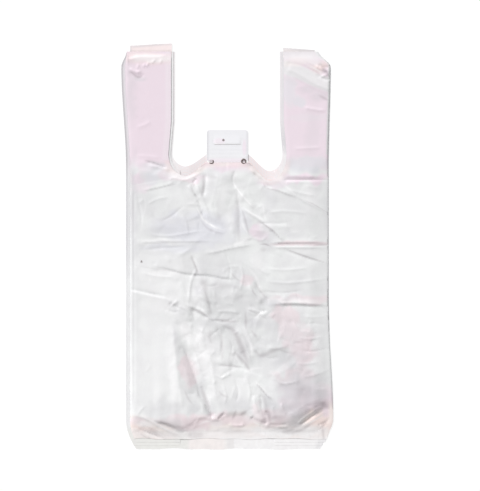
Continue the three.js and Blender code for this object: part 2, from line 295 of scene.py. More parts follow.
# The waves of a layer's cut bottom edge: how deep, how long, and how the layers differ
BOTTOM_WAVES = [(0.7, 17.0, 1), (0.5, 7.3, 2)]


def panel_outline(layer, inset=0.0, drop=0.0):
    """The outline of the front or back panel with its two straps, up to the tear-off line."""
    y_low = Y_BOTTOM + layer * SKIRT_STEP
    rising = np.linspace(y_low, Y_STRAP_ENDS, 90)
    right = np.column_stack([edge_at(RIGHT, layer, rising), rising])
    left = np.column_stack([-edge_at(LEFT, layer, rising), rising])
    across = np.linspace(left[0, 0], right[0, 0], 60)[1:-1]
    wander = sum(deep * np.sin(across / wave + turn * layer) for deep, wave, turn in BOTTOM_WAVES)
    bottom = np.column_stack([across, y_low + wander])
    return np.vstack([left[:1], bottom, right, mouth_side(RIGHT, inset, drop)[::-1],
                      mouth_side(LEFT, inset, drop), left[:0:-1]])


FRONT_OUTLINE = panel_outline(FRONT, FRONT_HANDLE_INSET, FRONT_MOUTH_DROP)
FRONT_CUTS = [mouth_side(side, FRONT_HANDLE_INSET, FRONT_MOUTH_DROP) for side in (LEFT, RIGHT)]
TEAR_LINE = np.array([[-TAB_HALF, Y_TEAR], [TAB_HALF, Y_TEAR]])


def mouth_distance(x, y):
    """How far each point is from the front panel's cut edge at the mouth and handles."""
    return np.minimum.reduce([to_path(path, x, y)[0] for path in [*FRONT_CUTS, TEAR_LINE]])


# Folds and creases of the front panel. Each has how high it stands (below zero, how deep it lies),
# how wide it is to the left and to the right of its path, the path, and the share of the path over
# which it fades in and out. A path that runs left to right has its upper side on its left.

def crease(height, left, right, path, fade=(0.25, 0.25)):
    return {"height": height, "left": left, "right": right, "path": curve(path), "fade": fade}


HANDLE_CREASES = [
    crease(-1.4, 1.6, 2.2, [(-147, 259), (-140, 253), (-131, 250), (-123, 256)], (0.3, 0.3)),
    crease(1.2, 2.0, 1.4, [(-146, 264), (-137, 258), (-126, 258)]),
    crease(1.3, 3.0, 3.0, [(-150, 275), (-130, 280), (-107, 280), (-88, 283)], (0.1, 0.1)),
    crease(0.8, 1.2, 1.6, [(-121, 265), (-115, 273)]),
    crease(0.8, 1.2, 1.6, [(-113, 270), (-107, 276)]),
    crease(0.7, 1.2, 1.6, [(-125, 264), (-122, 271)]),
    crease(0.7, 1.2, 1.6, [(-134, 262), (-131, 270)]),
    crease(0.7, 1.2, 1.6, [(-100, 270), (-97, 277)]),
    crease(-1.3, 2.2, 1.2, [(-124, 125), (-106, 122), (-89, 115)], (0.3, 0.2)),
    crease(1.0, 1.4, 4.0, [(-120, 120), (-103, 117), (-84, 112)], (0.3, 0.2)),
    crease(0.4, 1.5, 2.5, [(-136, 175), (-122, 180), (-112, 186)]),
    crease(0.4, 1.5, 2.5, [(-138, 134), (-118, 133), (-98, 131)]),
    crease(0.75, 6.0, 2.0, [(87, 263), (107, 253), (125, 242), (150, 231)], (0.1, 0)),
    crease(-0.3, 2.0, 3.0, [(87, 258), (101, 247), (122, 234), (150, 221)], (0.1, 0)),
    crease(-0.5, 1.5, 2.0, [(86, 271), (107, 268), (125, 261), (141, 250)], (0.1, 0.2)),
    crease(1.2, 1.0, 1.5, [(127, 267), (140, 262), (152, 258)], (0.3, 0)),
    crease(-1.3, 1.5, 1.5, [(133, 269), (144, 265), (152, 265)], (0.3, 0)),
    crease(1.0, 1.4, 1.4, [(136, 249), (147, 254), (152, 257)], (0.3, 0)),
    crease(-0.9, 1.4, 1.4, [(130, 255), (141, 248), (152, 246)], (0.3, 0)),
    crease(0.8, 1.4, 2.0, [(113, 206), (125, 203), (146, 200)], (0.2, 0.2)),
    crease(0.5, 1.5, 2.0, [(95, 144), (118, 145), (141, 146)]),
    crease(0.6, 3.0, 1.4, [(84, 103.5), (107, 103.5), (150, 103)], (0.1, 0)),
    crease(-1.0, 1.1, 1.4, [(82, 98.5), (107, 98.5), (150, 99)], (0.1, 0)),
    crease(0.5, 1.4, 2.4, [(84, 95), (107, 95), (150, 95)], (0.1, 0)),
]

MOUTH_CREASES = [
    crease(0.9, 1.2, 1.5, [(-82, 111), (-70, 105), (-53, 110), (-36, 116)], (0.1, 0.1)),
    crease(-0.8, 1.2, 1.5, [(-79, 114), (-64, 108.5), (-48, 113), (-35, 119)], (0.1, 0.1)),
    crease(0.8, 1.4, 2.0, [(-88, 98), (-78, 101), (-64, 98), (-50, 104), (-35, 111)], (0.1, 0.2)),
    crease(-1.6, 1.8, 1.8, [(-48, 118), (-35, 120)], (0.3, 0)),
    crease(-2.0, 1.5, 1.5, [(27, 123), (33, 120), (44, 119)], (0, 0.3)),
    crease(-1.5, 2.0, 1.6, [(37, 110), (45, 102), (55, 92), (69, 85)], (0.2, 0.3)),
    crease(1.0, 1.5, 2.5, [(33, 116), (42, 107), (52, 98)]),
    crease(0.8, 1.3, 1.5, [(51, 107), (66, 109), (78, 111)]),
    crease(-0.6, 1.3, 1.5, [(51, 109.5), (66, 111), (76, 114)]),
    crease(-1.4, 2.0, 3.0, [(11, 113), (8, 98), (13, 83)]),
    crease(-1.5, 2.0, 2.5, [(-46, 101), (-52, 92)]),
    crease(-1.5, 3.5, 3.0, [(-33, 110), (-33, 91), (-36, 71)]),
    crease(1.0, 1.5, 2.5, [(-58, 92), (-52, 83), (-46, 74)]),
]

BODY_CREASES = [
    crease(0.8, 6.0, 1.8, [(-127, 82), (-103, 87), (-75, 94)]),
    crease(-0.3, 1.0, 3.0, [(-127, 79.5), (-103, 84.5), (-75, 91.5)]),
    crease(0.8, 4.0, 1.1, [(-131, 6), (-93, 7), (-56, 7.5), (-12, 8)], (0.1, 0.3)),
    crease(-0.7, 2.0, 4.0, [(-128, -6), (-100, -3), (-55, 0)]),
    crease(1.5, 7.0, 1.0, [(61, 5), (107, 6), (152, 6)], (0.15, 0)),
    crease(1.0, 1.1, 1.5, [(64, -1), (107, -1.5), (152, -2)], (0.15, 0)),
    crease(0.9, 6.0, 1.6, [(56, 88), (78, 81), (104, 73), (118, 66)], (0.3, 0.4)),
    crease(1.2, 2.4, 1.8, [(100, 73), (125, 61), (152, 46)], (0.3, 0)),
    crease(-0.9, 1.8, 3.0, [(81, -5), (107, -14), (139, -25)]),
    crease(1.4, 3.0, 4.0, [(7, 95), (18, 80), (29, 67), (42, 55)], (0.2, 0.2)),
    crease(1.7, 4.0, 2.0, [(20, 57), (39, 45), (60, 30), (84, 7)], (0.2, 0.1)),
    crease(-1.8, 4.5, 3.5, [(-58, 97), (-44, 70), (-35, 45), (-23, 31), (-2, 24)], (0.2, 0.3)),
    crease(1.3, 2.2, 4.5, [(-48, 96), (-36, 68), (-27, 46), (-15, 36)], (0.2, 0.4)),
    crease(-0.5, 4.0, 4.0, [(-42, 68), (-39, 89), (-36, 111)]),
    crease(-1.3, 5.0, 5.0, [(17, 9), (18, 46), (15, 76), (13, 104)]),
    crease(0.5, 5.0, 6.0, [(-22, 60), (-18, 86), (-12, 112)]),
    crease(0.9, 6.0, 1.5, [(-41, -11.5), (-18, -8.5), (7, -2.5), (43, 3.5)]),
    crease(-1.5, 1.3, 6.0, [(-116, -30), (-88, -35), (-60, -42), (-29, -44), (-4, -48.5), (22, -50)]),
    crease(-1.3, 2.6, 3.0, [(-42, -44), (-46.5, -28), (-54, -13)]),
    crease(0.9, 2.0, 8.0, [(-148, -65), (-115, -73), (-88, -79), (-71, -86)], (0, 0.3)),
    crease(-0.9, 1.6, 1.8, [(-148, -62), (-115, -69.5), (-90, -75)], (0, 0.3)),
    crease(2.2, 8.0, 10.0, [(-27, -105), (-35, -80), (-44, -58)]),
    crease(-1.3, 2.6, 3.5, [(-59, -92), (-44, -99), (-27, -108)]),
    crease(1.3, 13.0, 7.0, [(-66, -242), (-69, -222), (-73, -191), (-77.5, -154), (-80, -114)],
           (0.12, 0.12)),
    crease(-3.0, 5.0, 6.0, [(-33, -235), (-44, -205), (-55.5, -171), (-69, -139)], (0.2, 0.3)),
    crease(-2.0, 4.0, 4.0, [(-21, -257), (-29, -239), (-36, -222), (-42, -208)], (0.1, 0.3)),
    crease(1.7, 10.0, 8.0, [(-17, -238), (-18.5, -213), (-23, -176), (-35, -146), (-55, -124)]),
    crease(1.2, 3.0, 4.0, [(-38, -190), (-48, -160), (-62, -134)]),
    crease(-2.8, 5.0, 5.0, [(23, -184), (15, -157), (5, -134), (-9, -115)]),
    crease(1.8, 7.0, 5.0, [(36, -180), (30, -156), (22, -134), (10, -116)]),
    crease(-1.0, 1.4, 3.0, [(-21, -176), (7, -177), (31, -183)]),
    crease(-1.5, 3.0, 3.5, [(61, -87), (57, -75), (47, -65), (40, -50)]),
    crease(1.8, 3.5, 4.0, [(52, -88), (46, -76), (36, -66), (30, -52)]),
    crease(1.9, 12.0, 1.4, [(58, -87), (85, -84), (115, -84.5), (152, -87)], (0.3, 0)),
    crease(-0.9, 1.1, 6.0, [(66, -89.5), (90, -88), (115, -88.5), (153, -91)], (0.3, 0)),
    crease(1.0, 2.4, 2.4, [(26, -92), (45, -96), (59, -104)]),
    crease(-1.2, 2.2, 2.2, [(40, -106), (48, -98), (60, -94)]),
    crease(-0.9, 3.5, 4.0, [(50, -156), (60, -165.5), (79, -164)]),
    crease(1.0, 3.5, 3.5, [(56, -149), (72, -151), (92, -147)]),
    crease(0.9, 5.0, 2.4, [(105, -194), (128, -190), (151, -182)], (0.3, 0)),
    crease(1.5, 1.6, 1.3, [(67, -228), (54, -214), (40, -200)]),
    crease(-1.1, 2.0, 2.6, [(-87, -83), (-80, -88), (-70, -90)]),
    crease(0.9, 1.6, 1.8, [(-84, -90), (-78, -84), (-72, -80)]),
    crease(0.9, 2.5, 2.5, [(-18, -97), (0, -96), (18, -99)]),
    crease(0.55, 1.6, 2.0, [(-143, 92), (-143.5, 20), (-143, -60), (-143, -140), (-142, -240)],
           (0.05, 0.05)),
    crease(-0.7, 1.2, 1.6, [(-138, 88), (-138.5, 20), (-138, -60), (-138, -140), (-138, -236)],
           (0.05, 0.05)),
]

# Fine lines that the main folds leave between them.
FINE_CREASES = [
    crease(-0.5, 1.2, 2.0, [(-134, 76), (-128, 51), (-127, 24)]),
    crease(0.6, 1.2, 1.6, [(-124, 20), (-91, 15), (-56, 20), (-30, 24)]),
    crease(0.9, 1.4, 2.2, [(-45, -32), (-53, -50), (-56, -68), (-58, -88)]),
    crease(0.9, 1.6, 2.6, [(-48, -50), (-36, -63), (-30, -81), (-24, -102)]),
    crease(0.9, 1.2, 2.0, [(-66, -84), (-50, -90), (-35, -97), (-13, -117)]),
    crease(-0.8, 1.2, 1.8, [(-30, -109), (-4, -111), (13, -105)]),
    crease(-0.8, 1.2, 2.0, [(-17, -115), (-8, -142), (-11, -167)]),
    crease(0.8, 1.2, 2.0, [(24, -115), (35, -142), (44, -158)]),
    crease(-0.7, 1.0, 1.6, [(2, -118), (7, -145), (5, -164)]),
    crease(0.8, 1.2, 1.6, [(61, -180), (79, -202), (109, -198)]),
    crease(0.5, 1.0, 1.4, [(109, -102), (128, -105), (149, -102)], (0.3, 0)),
    crease(-0.5, 1.0, 1.4, [(112, -115), (130, -114), (149, -117)], (0.3, 0)),
    crease(0.6, 1.0, 1.4, [(103, -134), (122, -137), (143, -133)]),
    crease(-0.6, 1.0, 1.6, [(107, -154), (128, -155), (150, -151)], (0.3, 0)),
    crease(0.5, 1.0, 1.4, [(95, -171), (115, -174), (137, -170)]),
    crease(0.6, 1.0, 1.6, [(87, 85), (107, 79), (134, 74)]),
    crease(0.5, 1.0, 1.4, [(56, 49), (85, 52), (122, 48)]),
    crease(-0.5, 1.0, 1.6, [(41, 36), (63, 33), (95, 36)]),
    crease(0.5, 1.0, 1.4, [(51, -32), (85, -35), (125, -31)]),
    crease(-0.5, 1.0, 1.4, [(45, -65), (78, -69), (116, -65)]),
    crease(0.6, 1.0, 1.4, [(51, -51), (92, -54), (146, -48)], (0.3, 0)),
    crease(0.7, 1.2, 1.6, [(-76, -88), (-61, -93), (-51, -103)]),
    crease(-0.6, 1.0, 1.4, [(-94, -90), (-82, -97), (-70, -96)]),
    crease(0.8, 1.2, 3.0, [(-42, 50), (-35, 39), (-24, 31), (-5, 24)]),
    crease(0.5, 3.0, 1.6, [(47, 37), (63, 26), (73, 17), (79, 9)]),
    crease(0.6, 1.0, 1.4, [(18, 5), (36, 12), (51, 9), (60, 17)]),
    crease(0.6, 1.2, 1.4, [(33, -17), (45, -32), (63, -44)]),
    crease(-0.6, 1.0, 1.6, [(-4, -9), (4, -32), (1, -56)]),
    crease(0.6, 1.0, 1.6, [(18, -23), (23, -44), (18, -68)]),
    crease(0.6, 1.2, 1.8, [(-8, -202), (-2, -220), (-5, -236)]),
    crease(-0.7, 1.2, 1.8, [(10, -195), (16, -214), (13, -233)]),
    crease(0.7, 1.2, 1.8, [(27, -192), (33, -211), (32, -232)]),
    crease(0.6, 1.0, 1.6, [(-20, -188), (-8, -194), (8, -186)]),
    crease(-0.6, 1.0, 1.6, [(-61, -124), (-47, -136), (-38, -154)]),
    crease(0.6, 1.0, 1.6, [(-47, -118), (-32, -130), (-21, -149)]),
    crease(0.5, 1.0, 1.4, [(-70, 51), (-61, 36), (-58, 15)]),
    crease(-0.5, 1.0, 1.4, [(-100, 36), (-82, 45), (-64, 61)]),
    crease(0.5, 1.0, 1.4, [(-121, 61), (-103, 70), (-85, 73)]),
    crease(0.5, 1.0, 1.4, [(-130, -38), (-106, -44), (-76, -46)]),
    crease(0.5, 1.2, 1.6, [(27, -94), (36, -100), (51, -103)]),
    crease(-0.5, 1.0, 1.4, [(33, -85), (41, -93), (54, -96)]),
]

# Pockets, tucks and gathers round the lip and down the skirt.
SKIRT_CREASES = [
    crease(-1.0, 3.6, 3.6, [(-103, -260), (-90, -266), (-73, -272), (-61, -276)], (0.15, 0.1)),
    crease(1.4, 1.6, 2.0, [(-131, -248), (-113, -259), (-94, -269), (-73, -279), (-56, -284)],
           (0.2, 0.2)),
    crease(-1.2, 1.6, 1.8, [(-128, -266), (-116, -273), (-103, -281), (-91, -284)], (0.2, 0.2)),
    crease(-0.8, 1.1, 1.4, [(-131, -269), (-119, -276), (-109, -282), (-91, -283)], (0.1, 0.3)),
    crease(-0.9, 1.2, 1.4, [(-128, -278), (-118, -284), (-106, -287.5), (-91, -288), (-76, -289)],
           (0.1, 0.2)),
    crease(1.3, 1.2, 1.2, [(-131, -273), (-119, -280), (-106, -285), (-85, -285.5)], (0.1, 0.3)),
    crease(-1.0, 1.5, 1.5, [(-69, -272), (-58, -267), (-48, -259), (-44, -252)], (0.1, 0.2)),
    crease(0.9, 2.0, 2.6, [(-64, -273), (-52, -269), (-42, -261)]),
    crease(-1.6, 1.3, 1.3, [(-66, -280), (-58, -281.5), (-51, -282)]),
    crease(-1.3, 1.3, 1.3, [(-47, -281.5), (-35, -281.5)]),
    crease(-3.2, 4.5, 3.0, [(-40, -205), (-35, -222), (-30, -238), (-23, -254)], (0.3, 0.1)),
    crease(-1.5, 1.8, 1.8, [(-14, -256), (-8, -250), (-1, -247.5)], (0.1, 0.3)),
    crease(1.4, 2.0, 2.0, [(0, -264), (15, -265), (27, -264)], (0.2, 0.2)),
    crease(-0.9, 1.6, 1.6, [(-2, -274), (13, -274.5), (33, -274)], (0.2, 0.2)),
    crease(-1.8, 1.6, 2.4, [(35, -251.5), (42, -256.5), (51, -260.5), (58.5, -263)], (0.1, 0.1)),
    crease(-1.4, 2.4, 2.4, [(48, -217), (50, -230), (51, -239), (55.5, -254)], (0.2, 0.1)),
    crease(1.2, 3.5, 2.6, [(39, -219), (41, -235), (47, -248)]),
    crease(-1.4, 2.4, 2.4, [(57, -242), (57, -253), (58, -262)], (0.2, 0)),
    crease(0.6, 1.6, 2.0, [(68, -234), (67, -244), (72, -254)]),
    crease(-1.0, 1.2, 1.2, [(60, -264), (78, -264), (90, -262.5)], (0.1, 0.2)),
    crease(0.9, 1.2, 1.2, [(72, -267), (90, -267)]),
    crease(-0.9, 1.6, 1.6, [(75, -270), (92, -271.5)]),
    crease(0.8, 1.0, 1.0, [(103, -263), (115, -252), (129, -242), (141, -236)], (0.1, 0.1)),
    crease(-1.2, 1.0, 1.2, [(107, -264), (121, -254), (134, -244)], (0.1, 0.1)),
    crease(0.6, 2.0, 3.0, [(110, -267), (122, -259), (137, -249), (152, -242)], (0.1, 0)),
    crease(-1.7, 1.1, 1.1, [(134, -265), (141, -262), (150, -255)], (0.1, 0)),
    crease(-1.4, 1.1, 1.1, [(132, -273), (141, -267.5), (149, -259)], (0.1, 0)),
    crease(-0.7, 1.6, 1.6, [(82, -275), (91, -280)]),
    crease(1.1, 1.3, 1.3, [(79, -230), (82, -241), (88, -250)]),
    crease(0.8, 1.0, 1.0, [(-130, -292), (-95, -292.5), (-50, -292),
                           (-10, -291), (30, -291), (90, -292)],
           (0.1, 0.1)),
    crease(-0.7, 0.9, 0.9, [(-128, -295), (-95, -295.5), (-50, -295), (-10, -294), (30, -294)],
           (0.1, 0.1)),
]

ALL_CREASES = HANDLE_CREASES + MOUTH_CREASES + BODY_CREASES + FINE_CREASES + SKIRT_CREASES

# The lip where the front panel's slack ends: its crest, how far it stands over the skirt, and the
# run over which it falls, each by X.
LIP_CREST = curve([
    (-162, -247), (-140, -249), (-120, -252), (-106, -257), (-90, -260), (-78, -266), (-72, -273),
    (-66, -272), (-58, -266), (-48, -259), (-43, -253), (-33, -251), (-22, -254), (-14, -253),
    (-7, -248), (4, -244), (18, -243), (29, -244), (35, -251), (42, -256), (51, -260), (57, -263),
    (66, -259), (78, -254), (92, -247), (107, -239), (125, -231), (140, -226), (152, -225),
    (170, -223),
])
LIP_RISE = [(-150, 0.5), (-112, 0.7), (-98, 2.4), (-80, 2.8), (-68, 1.8), (-40, 1.2), (-14, 1.2),
            (10, 0.8), (36, 1.2), (60, 1.4), (80, 3.6), (105, 6.0), (150, 5.6)]
LIP_FALL = [(-150, 6), (-100, 5), (-70, 4), (-20, 7), (20, 9), (40, 3.5), (60, 8), (85, 25),
            (105, 26), (125, 21), (150, 16)]
LIP_BACK = 55.0
SKIRT_LOW, SKIRT_PILE, SKIRT_PILE_RUN = 2.0, 1.9, 24.0

# How strongly the film is crumpled: centre, reach and share
CALM = 0.5
HANDLE_CALM = 0.86
CRUMPLED = [((-5, -130), (80, 100), 1.2), ((100, -170), (60, 70), 1.0), ((0, 60), (70, 60), 0.9),
            ((0, -285), (160, 26), 0.8)]
FLAT_PANELS = [((-114, -150), (26, 100), 0.75), ((115, 45), (34, 34), 0.5),
               ((112, -45), (36, 34), 0.4)]

# Flat facets of the crumpled film: how far apart their corners are and how high these stand
FACETS = [(50, 1.5), (21, 0.75), (9.5, 0.28)]
FACET_SEED = 11
FACET_BEND, FACET_BEND_SIZE = 5, 30
FACET_JITTER = 0.42
FACET_FIELD = (180, 320)

# Short random creases: how many, where their middles lie, which way they run
STRAY_COUNT, STRAY_SEED = 230, 5
STRAY_ACROSS, STRAY_UP = (-140, 145), (-285, 105)
STRAY_SLANTS = [0.0, -0.6, 0.9, 2.0, -1.1]

# How far a crease is felt, in widths, and how blunt its crest is
CREASE_REACH = 5
CREST_BLUNT = 0.5


def crumpling(x, y):
    """How strongly the film is crumpled at each point."""
    share = np.full(np.shape(x), CALM)
    for centre, reach, strong in CRUMPLED:
        share = np.maximum(share, strong * patch(x, y, centre, reach))
    for centre, reach, calmer in FLAT_PANELS:
        share = share * (1 - calmer * patch(x, y, centre, reach))
    return share * (1 - HANDLE_CALM * smooth(Y_MOUTH - 8, Y_MOUTH + 22, y))


def facets(x, y, spacing, depth, seed):
    """Flat facets with sharp edges, as thin film keeps once it has been pressed."""
    rng = np.random.default_rng(seed)
    across, up = np.meshgrid(*[np.arange(-half, half + 1, spacing) for half in FACET_FIELD])
    corners = np.column_stack([across.ravel(), up.ravel()]).astype(float)
    corners += rng.uniform(-FACET_JITTER, FACET_JITTER, corners.shape) * spacing
    flat, _, faces, *_ = delaunay_2d_cdt([Vector(p) for p in corners], [], [], 0, 1e-3)
    flat = np.array(flat)
    level = rng.uniform(-depth, depth, len(flat))
    total = np.zeros(x.shape)
    for face in faces:
        (ax, ay), (bx, by), (cx, cy) = flat[list(face)]
        near = np.nonzero((x >= min(ax, bx, cx)) & (x <= max(ax, bx, cx))
                          & (y >= min(ay, by, cy)) & (y <= max(ay, by, cy)))[0]
        if not len(near):
            continue
        area = (bx - ax) * (cy - ay) - (cx - ax) * (by - ay)
        px, py = x[near] - ax, y[near] - ay
        share_b = (px * (cy - ay) - (cx - ax) * py) / area
        share_c = ((bx - ax) * py - px * (by - ay)) / area
        within = (share_b >= -1e-9) & (share_c >= -1e-9) & (share_b + share_c <= 1 + 1e-9)
        a, b, c = level[list(face)]
        height = a + (b - a) * share_b + (c - a) * share_c
        total[near[within]] = height[within]
    return total


def crumple(x, y):
    """Facets of three sizes, stronger where the film has been crushed."""
    bend = FACET_BEND * lattice_noise(x, y, FACET_BEND_SIZE, FACET_SEED)
    total = np.zeros(x.shape)
    for spacing, depth in FACETS:
        total += facets(x + bend, y - bend, spacing, depth, FACET_SEED + int(spacing))
    return total * crumpling(x, y)


def stray_creases():
    """Short random creases, mostly where the film is crumpled."""
    rng = np.random.default_rng(STRAY_SEED)
    found = []
    while len(found) < STRAY_COUNT:
        middle = np.array([rng.uniform(*STRAY_ACROSS), rng.uniform(*STRAY_UP)])
        if rng.uniform(0, 1.1) > crumpling(middle[0], middle[1]):
            continue
        slant = rng.choice(STRAY_SLANTS) + rng.normal(0, 0.25)
        half = np.array([math.cos(slant), math.sin(slant)]) * rng.uniform(4, 17)
        bow = rng.normal(0, 1.2, 2)
        height = rng.choice([-1, 1]) * rng.uniform(0.15, 0.55)
        left, right = rng.uniform(0.8, 3.0, 2)
        path = [middle - half, middle + bow, middle + half]
        found.append(crease(height, left, right, path, (0.4, 0.4)))
    return found


STRAY_CREASES = stray_creases()


def raised(creases, x, y):
    """The summed height of creases at each point."""
    total = np.zeros(x.shape)
    for fold in creases:
        path = fold["path"]
        reach = CREASE_REACH * max(fold["left"], fold["right"])
        low, high = path.min(0) - reach, path.max(0) + reach
        near = (x > low[0]) & (x < high[0]) & (y > low[1]) & (y < high[1])
        if not near.any():
            continue
        far, side, along = to_path(path, x[near], y[near])
        width = np.where(side > 0, fold["left"], fold["right"])
        blunt = np.sqrt(far * far + CREST_BLUNT * CREST_BLUNT) - CREST_BLUNT
        rise = fold["height"] * np.exp(-blunt / width)
        fade_in, fade_out = fold["fade"]
        if fade_in:
            rise *= smooth(0, fade_in, along)
        if fade_out:
            rise *= smooth(1, 1 - fade_out, along)
        total[near] += rise
    return total


def layer_lift(layer, y):
    """How high a layer's under face lies. Below the weld the layers are pressed together."""
    pressed = LAYER_LIFT[BACK] + layer * PRESSED_STEP
    return pressed + (LAYER_LIFT[layer] - pressed) * smooth(Y_PRESSED, Y_PARTED, y)


def front_height(x, y):
    """The upper face of the front film."""
    is_left, is_right = x < 0, x > 0
    to_side = np.maximum(from_fold(FRONT, x, y), 0)
    to_mouth = mouth_distance(x, y)
    in_body = smooth(Y_MOUTH + 20, Y_MOUTH - 12, y)

    # Slack in the body, and nearly flat in the handles
    right_loft = HANDLE_LOFT[RIGHT] + 0.1 * smooth(30, 4, to_side)
    handle_loft = np.where(is_left, HANDLE_LOFT[LEFT], right_loft)
    loft = handle_loft * (CUT_EDGE_LOFT + (1 - CUT_EDGE_LOFT) * smooth(0, 5, to_mouth))
    loft = loft + (BODY_LOFT - handle_loft) * in_body * smooth(0, MOUTH_RUN, to_mouth)

    # The lip stands over the skirt
    from_lip, lip_side, _ = to_path(LIP_CREST, x, y)
    below = np.where(lip_side < 0, from_lip, 0)
    above = np.where(lip_side < 0, 0, from_lip)
    skirt = SKIRT_LOW + SKIRT_PILE * np.exp(-below / SKIRT_PILE_RUN)
    near_lip = np.exp(-above / LIP_BACK)
    upper = loft + (SKIRT_LOW + SKIRT_PILE - BODY_LOFT) * near_lip + eased(LIP_RISE, x) * near_lip
    loft = upper + (skirt - upper) * smooth(0, 1, below / eased(LIP_FALL, x))

    # Creases, facets, the weld and the skirt's crinkle
    weld = WELD_DENT * smooth(WELD_HEIGHT, WELD_HEIGHT / 4, np.abs(y - Y_WELD - WELD_HEIGHT / 2))
    crinkle = SKIRT_CRINKLE * lattice_noise(x / 2.4, y, 3.2, 21)
    crinkle = crinkle * smooth(Y_WELD + 22, Y_WELD - 2, y)
    relief = raised(ALL_CREASES + STRAY_CREASES, x, y) + crumple(x, y) + crinkle - weld
    relief = relief * (CUT_EDGE_RELIEF + (1 - CUT_EDGE_RELIEF) * smooth(0, 6, to_mouth))
    loft = np.maximum(loft + relief, LEAST_LOFT * loft)

    # Held down at the side folds, at the strap ends and at the cut bottom edge
    roll = 1 - np.exp(-to_side / np.where(is_left, SIDE_ROLL[LEFT], SIDE_ROLL[RIGHT]))
    near_right = 1 - 0.8 * smooth(30, 2, to_side) * is_right * in_body
    ends = smooth(Y_STRAP_ENDS, Y_STRAPS - 8, y)
    foot = FOOT_LOFT + (1 - FOOT_LOFT) * smooth(-3, 34, y - Y_BOTTOM - FRONT * SKIRT_STEP)
    over_gusset = smooth(GUSSET_INNER - 22, GUSSET_INNER, np.abs(x))
    under = layer_lift(GUSSET_BACK, y)
    base = under + (layer_lift(FRONT, y) - under) * over_gusset
    return base + FILM_WALL + loft * roll * near_right * ends * foot


# Making a film mesh

def spaced(path, step):
    """Points along a path at about the given spacing, keeping its corners."""
    found = []
    for a, b in zip(path, path[1:]):
        count = max(1, int(math.ceil(np.hypot(*(b - a)) / step)))
        found.extend(a + (b - a) * i / count for i in range(count))
    return np.array(found)


def clear_of(points, outline, holes, rims, distance):
    """The points that lie inside an outline, outside its holes and away from every rim."""
    keep = inside(outline, points[:, 0], points[:, 1])
    for hole in holes:
        keep &= ~inside(hole, points[:, 0], points[:, 1])
    for rim in rims:
        keep[keep] = to_path(rim, points[keep, 0], points[keep, 1])[0] > distance
    return points[keep]


# How near an inner point may lie to a rim and to a crest, in steps
RIM_GAP = 0.6
CREST_GAP = 0.55


def film_grid(outline, holes, rims, crests, step):
    """Inner points of a flat film: its sharpest crests, and a grid between them."""
    low, high = outline.min(0), outline.max(0)
    columns, rows = [np.arange(low[i] + step / 2, high[i], step) for i in (0, 1)]
    x, y = np.meshgrid(columns, rows)
    x = x + step / 2 * (np.arange(x.shape[0]) % 2)[:, None]
    grid = clear_of(np.column_stack([x.ravel(), y.ravel()]), outline, holes, rims, step * RIM_GAP)
    if not crests:
        return grid
    for path in crests:
        near = ((grid > path.min(0) - step) & (grid < path.max(0) + step)).all(1)
        keep = np.ones(len(grid), bool)
        keep[near] = to_path(path, grid[near, 0], grid[near, 1])[0] > step * CREST_GAP
        grid = grid[keep]
    on_crests = np.vstack([spaced(path, step) for path in crests])
    return np.vstack([clear_of(on_crests, outline, holes, rims, step * RIM_GAP), grid])


def flat_mesh(loops, inner, outline, holes):
    """Triangles between loops and inner points, all facing up."""
    edges, start = [], 0
    for loop in loops:
        ring = list(range(start, start + len(loop)))
        edges.extend(zip(ring, ring[1:] + ring[:1]))
        start += len(loop)
    points = np.vstack([*loops, inner])
    flat, _, faces, *_ = delaunay_2d_cdt([Vector(p) for p in points], edges, [], 1, 1e-4)
    flat = np.array(flat)
    faces = np.array([face for face in faces if len(face) == 3])
    middle = flat[faces].mean(1)
    keep = inside(outline, middle[:, 0], middle[:, 1])
    for hole in holes:
        keep &= ~inside(hole, middle[:, 0], middle[:, 1])
    faces = faces[keep]
    a, b, c = (flat[faces[:, i]] for i in range(3))
    turned = (b[:, 0] - a[:, 0]) * (c[:, 1] - a[:, 1]) < (b[:, 1] - a[:, 1]) * (c[:, 0] - a[:, 0])
    faces[turned] = faces[turned][:, ::-1]
    return flat, faces


def lowest_near(points, heights, places, reach):
    """The lowest of the heights within reach of each place."""
    low = points.min(0) - reach
    cell = np.floor((points - low) / reach).astype(int)
    span = cell.max(0) + 3
    lowest = np.full(span, np.inf)
    np.minimum.at(lowest, (cell[:, 0] + 1, cell[:, 1] + 1), heights)
    at = np.floor((places - low) / reach).astype(int) + 1
    around = [lowest[at[:, 0] + i, at[:, 1] + j] for i in (-1, 0, 1) for j in (-1, 0, 1)]
    return np.minimum.reduce(around)


def in_scene(name, data):
    """A new object with the given data, placed in the scene."""
    made = bpy.data.objects.new(name, data)
    bpy.context.scene.collection.objects.link(made)
    return made


def film_mesh(name, points, faces, tints):
    """A smoothly shaded mesh, with the share of each tint at each of its points."""
    mesh = bpy.data.meshes.new(name)
    mesh.from_pydata((np.array(points) * MM).tolist(), [], faces)
    for tint, shares in tints.items():
        layer = mesh.attributes.new(tint, "FLOAT", "POINT")
        layer.data.foreach_set("value", shares.astype(np.float32))
    mesh.polygons.foreach_set("use_smooth", [True] * len(mesh.polygons))
    return mesh


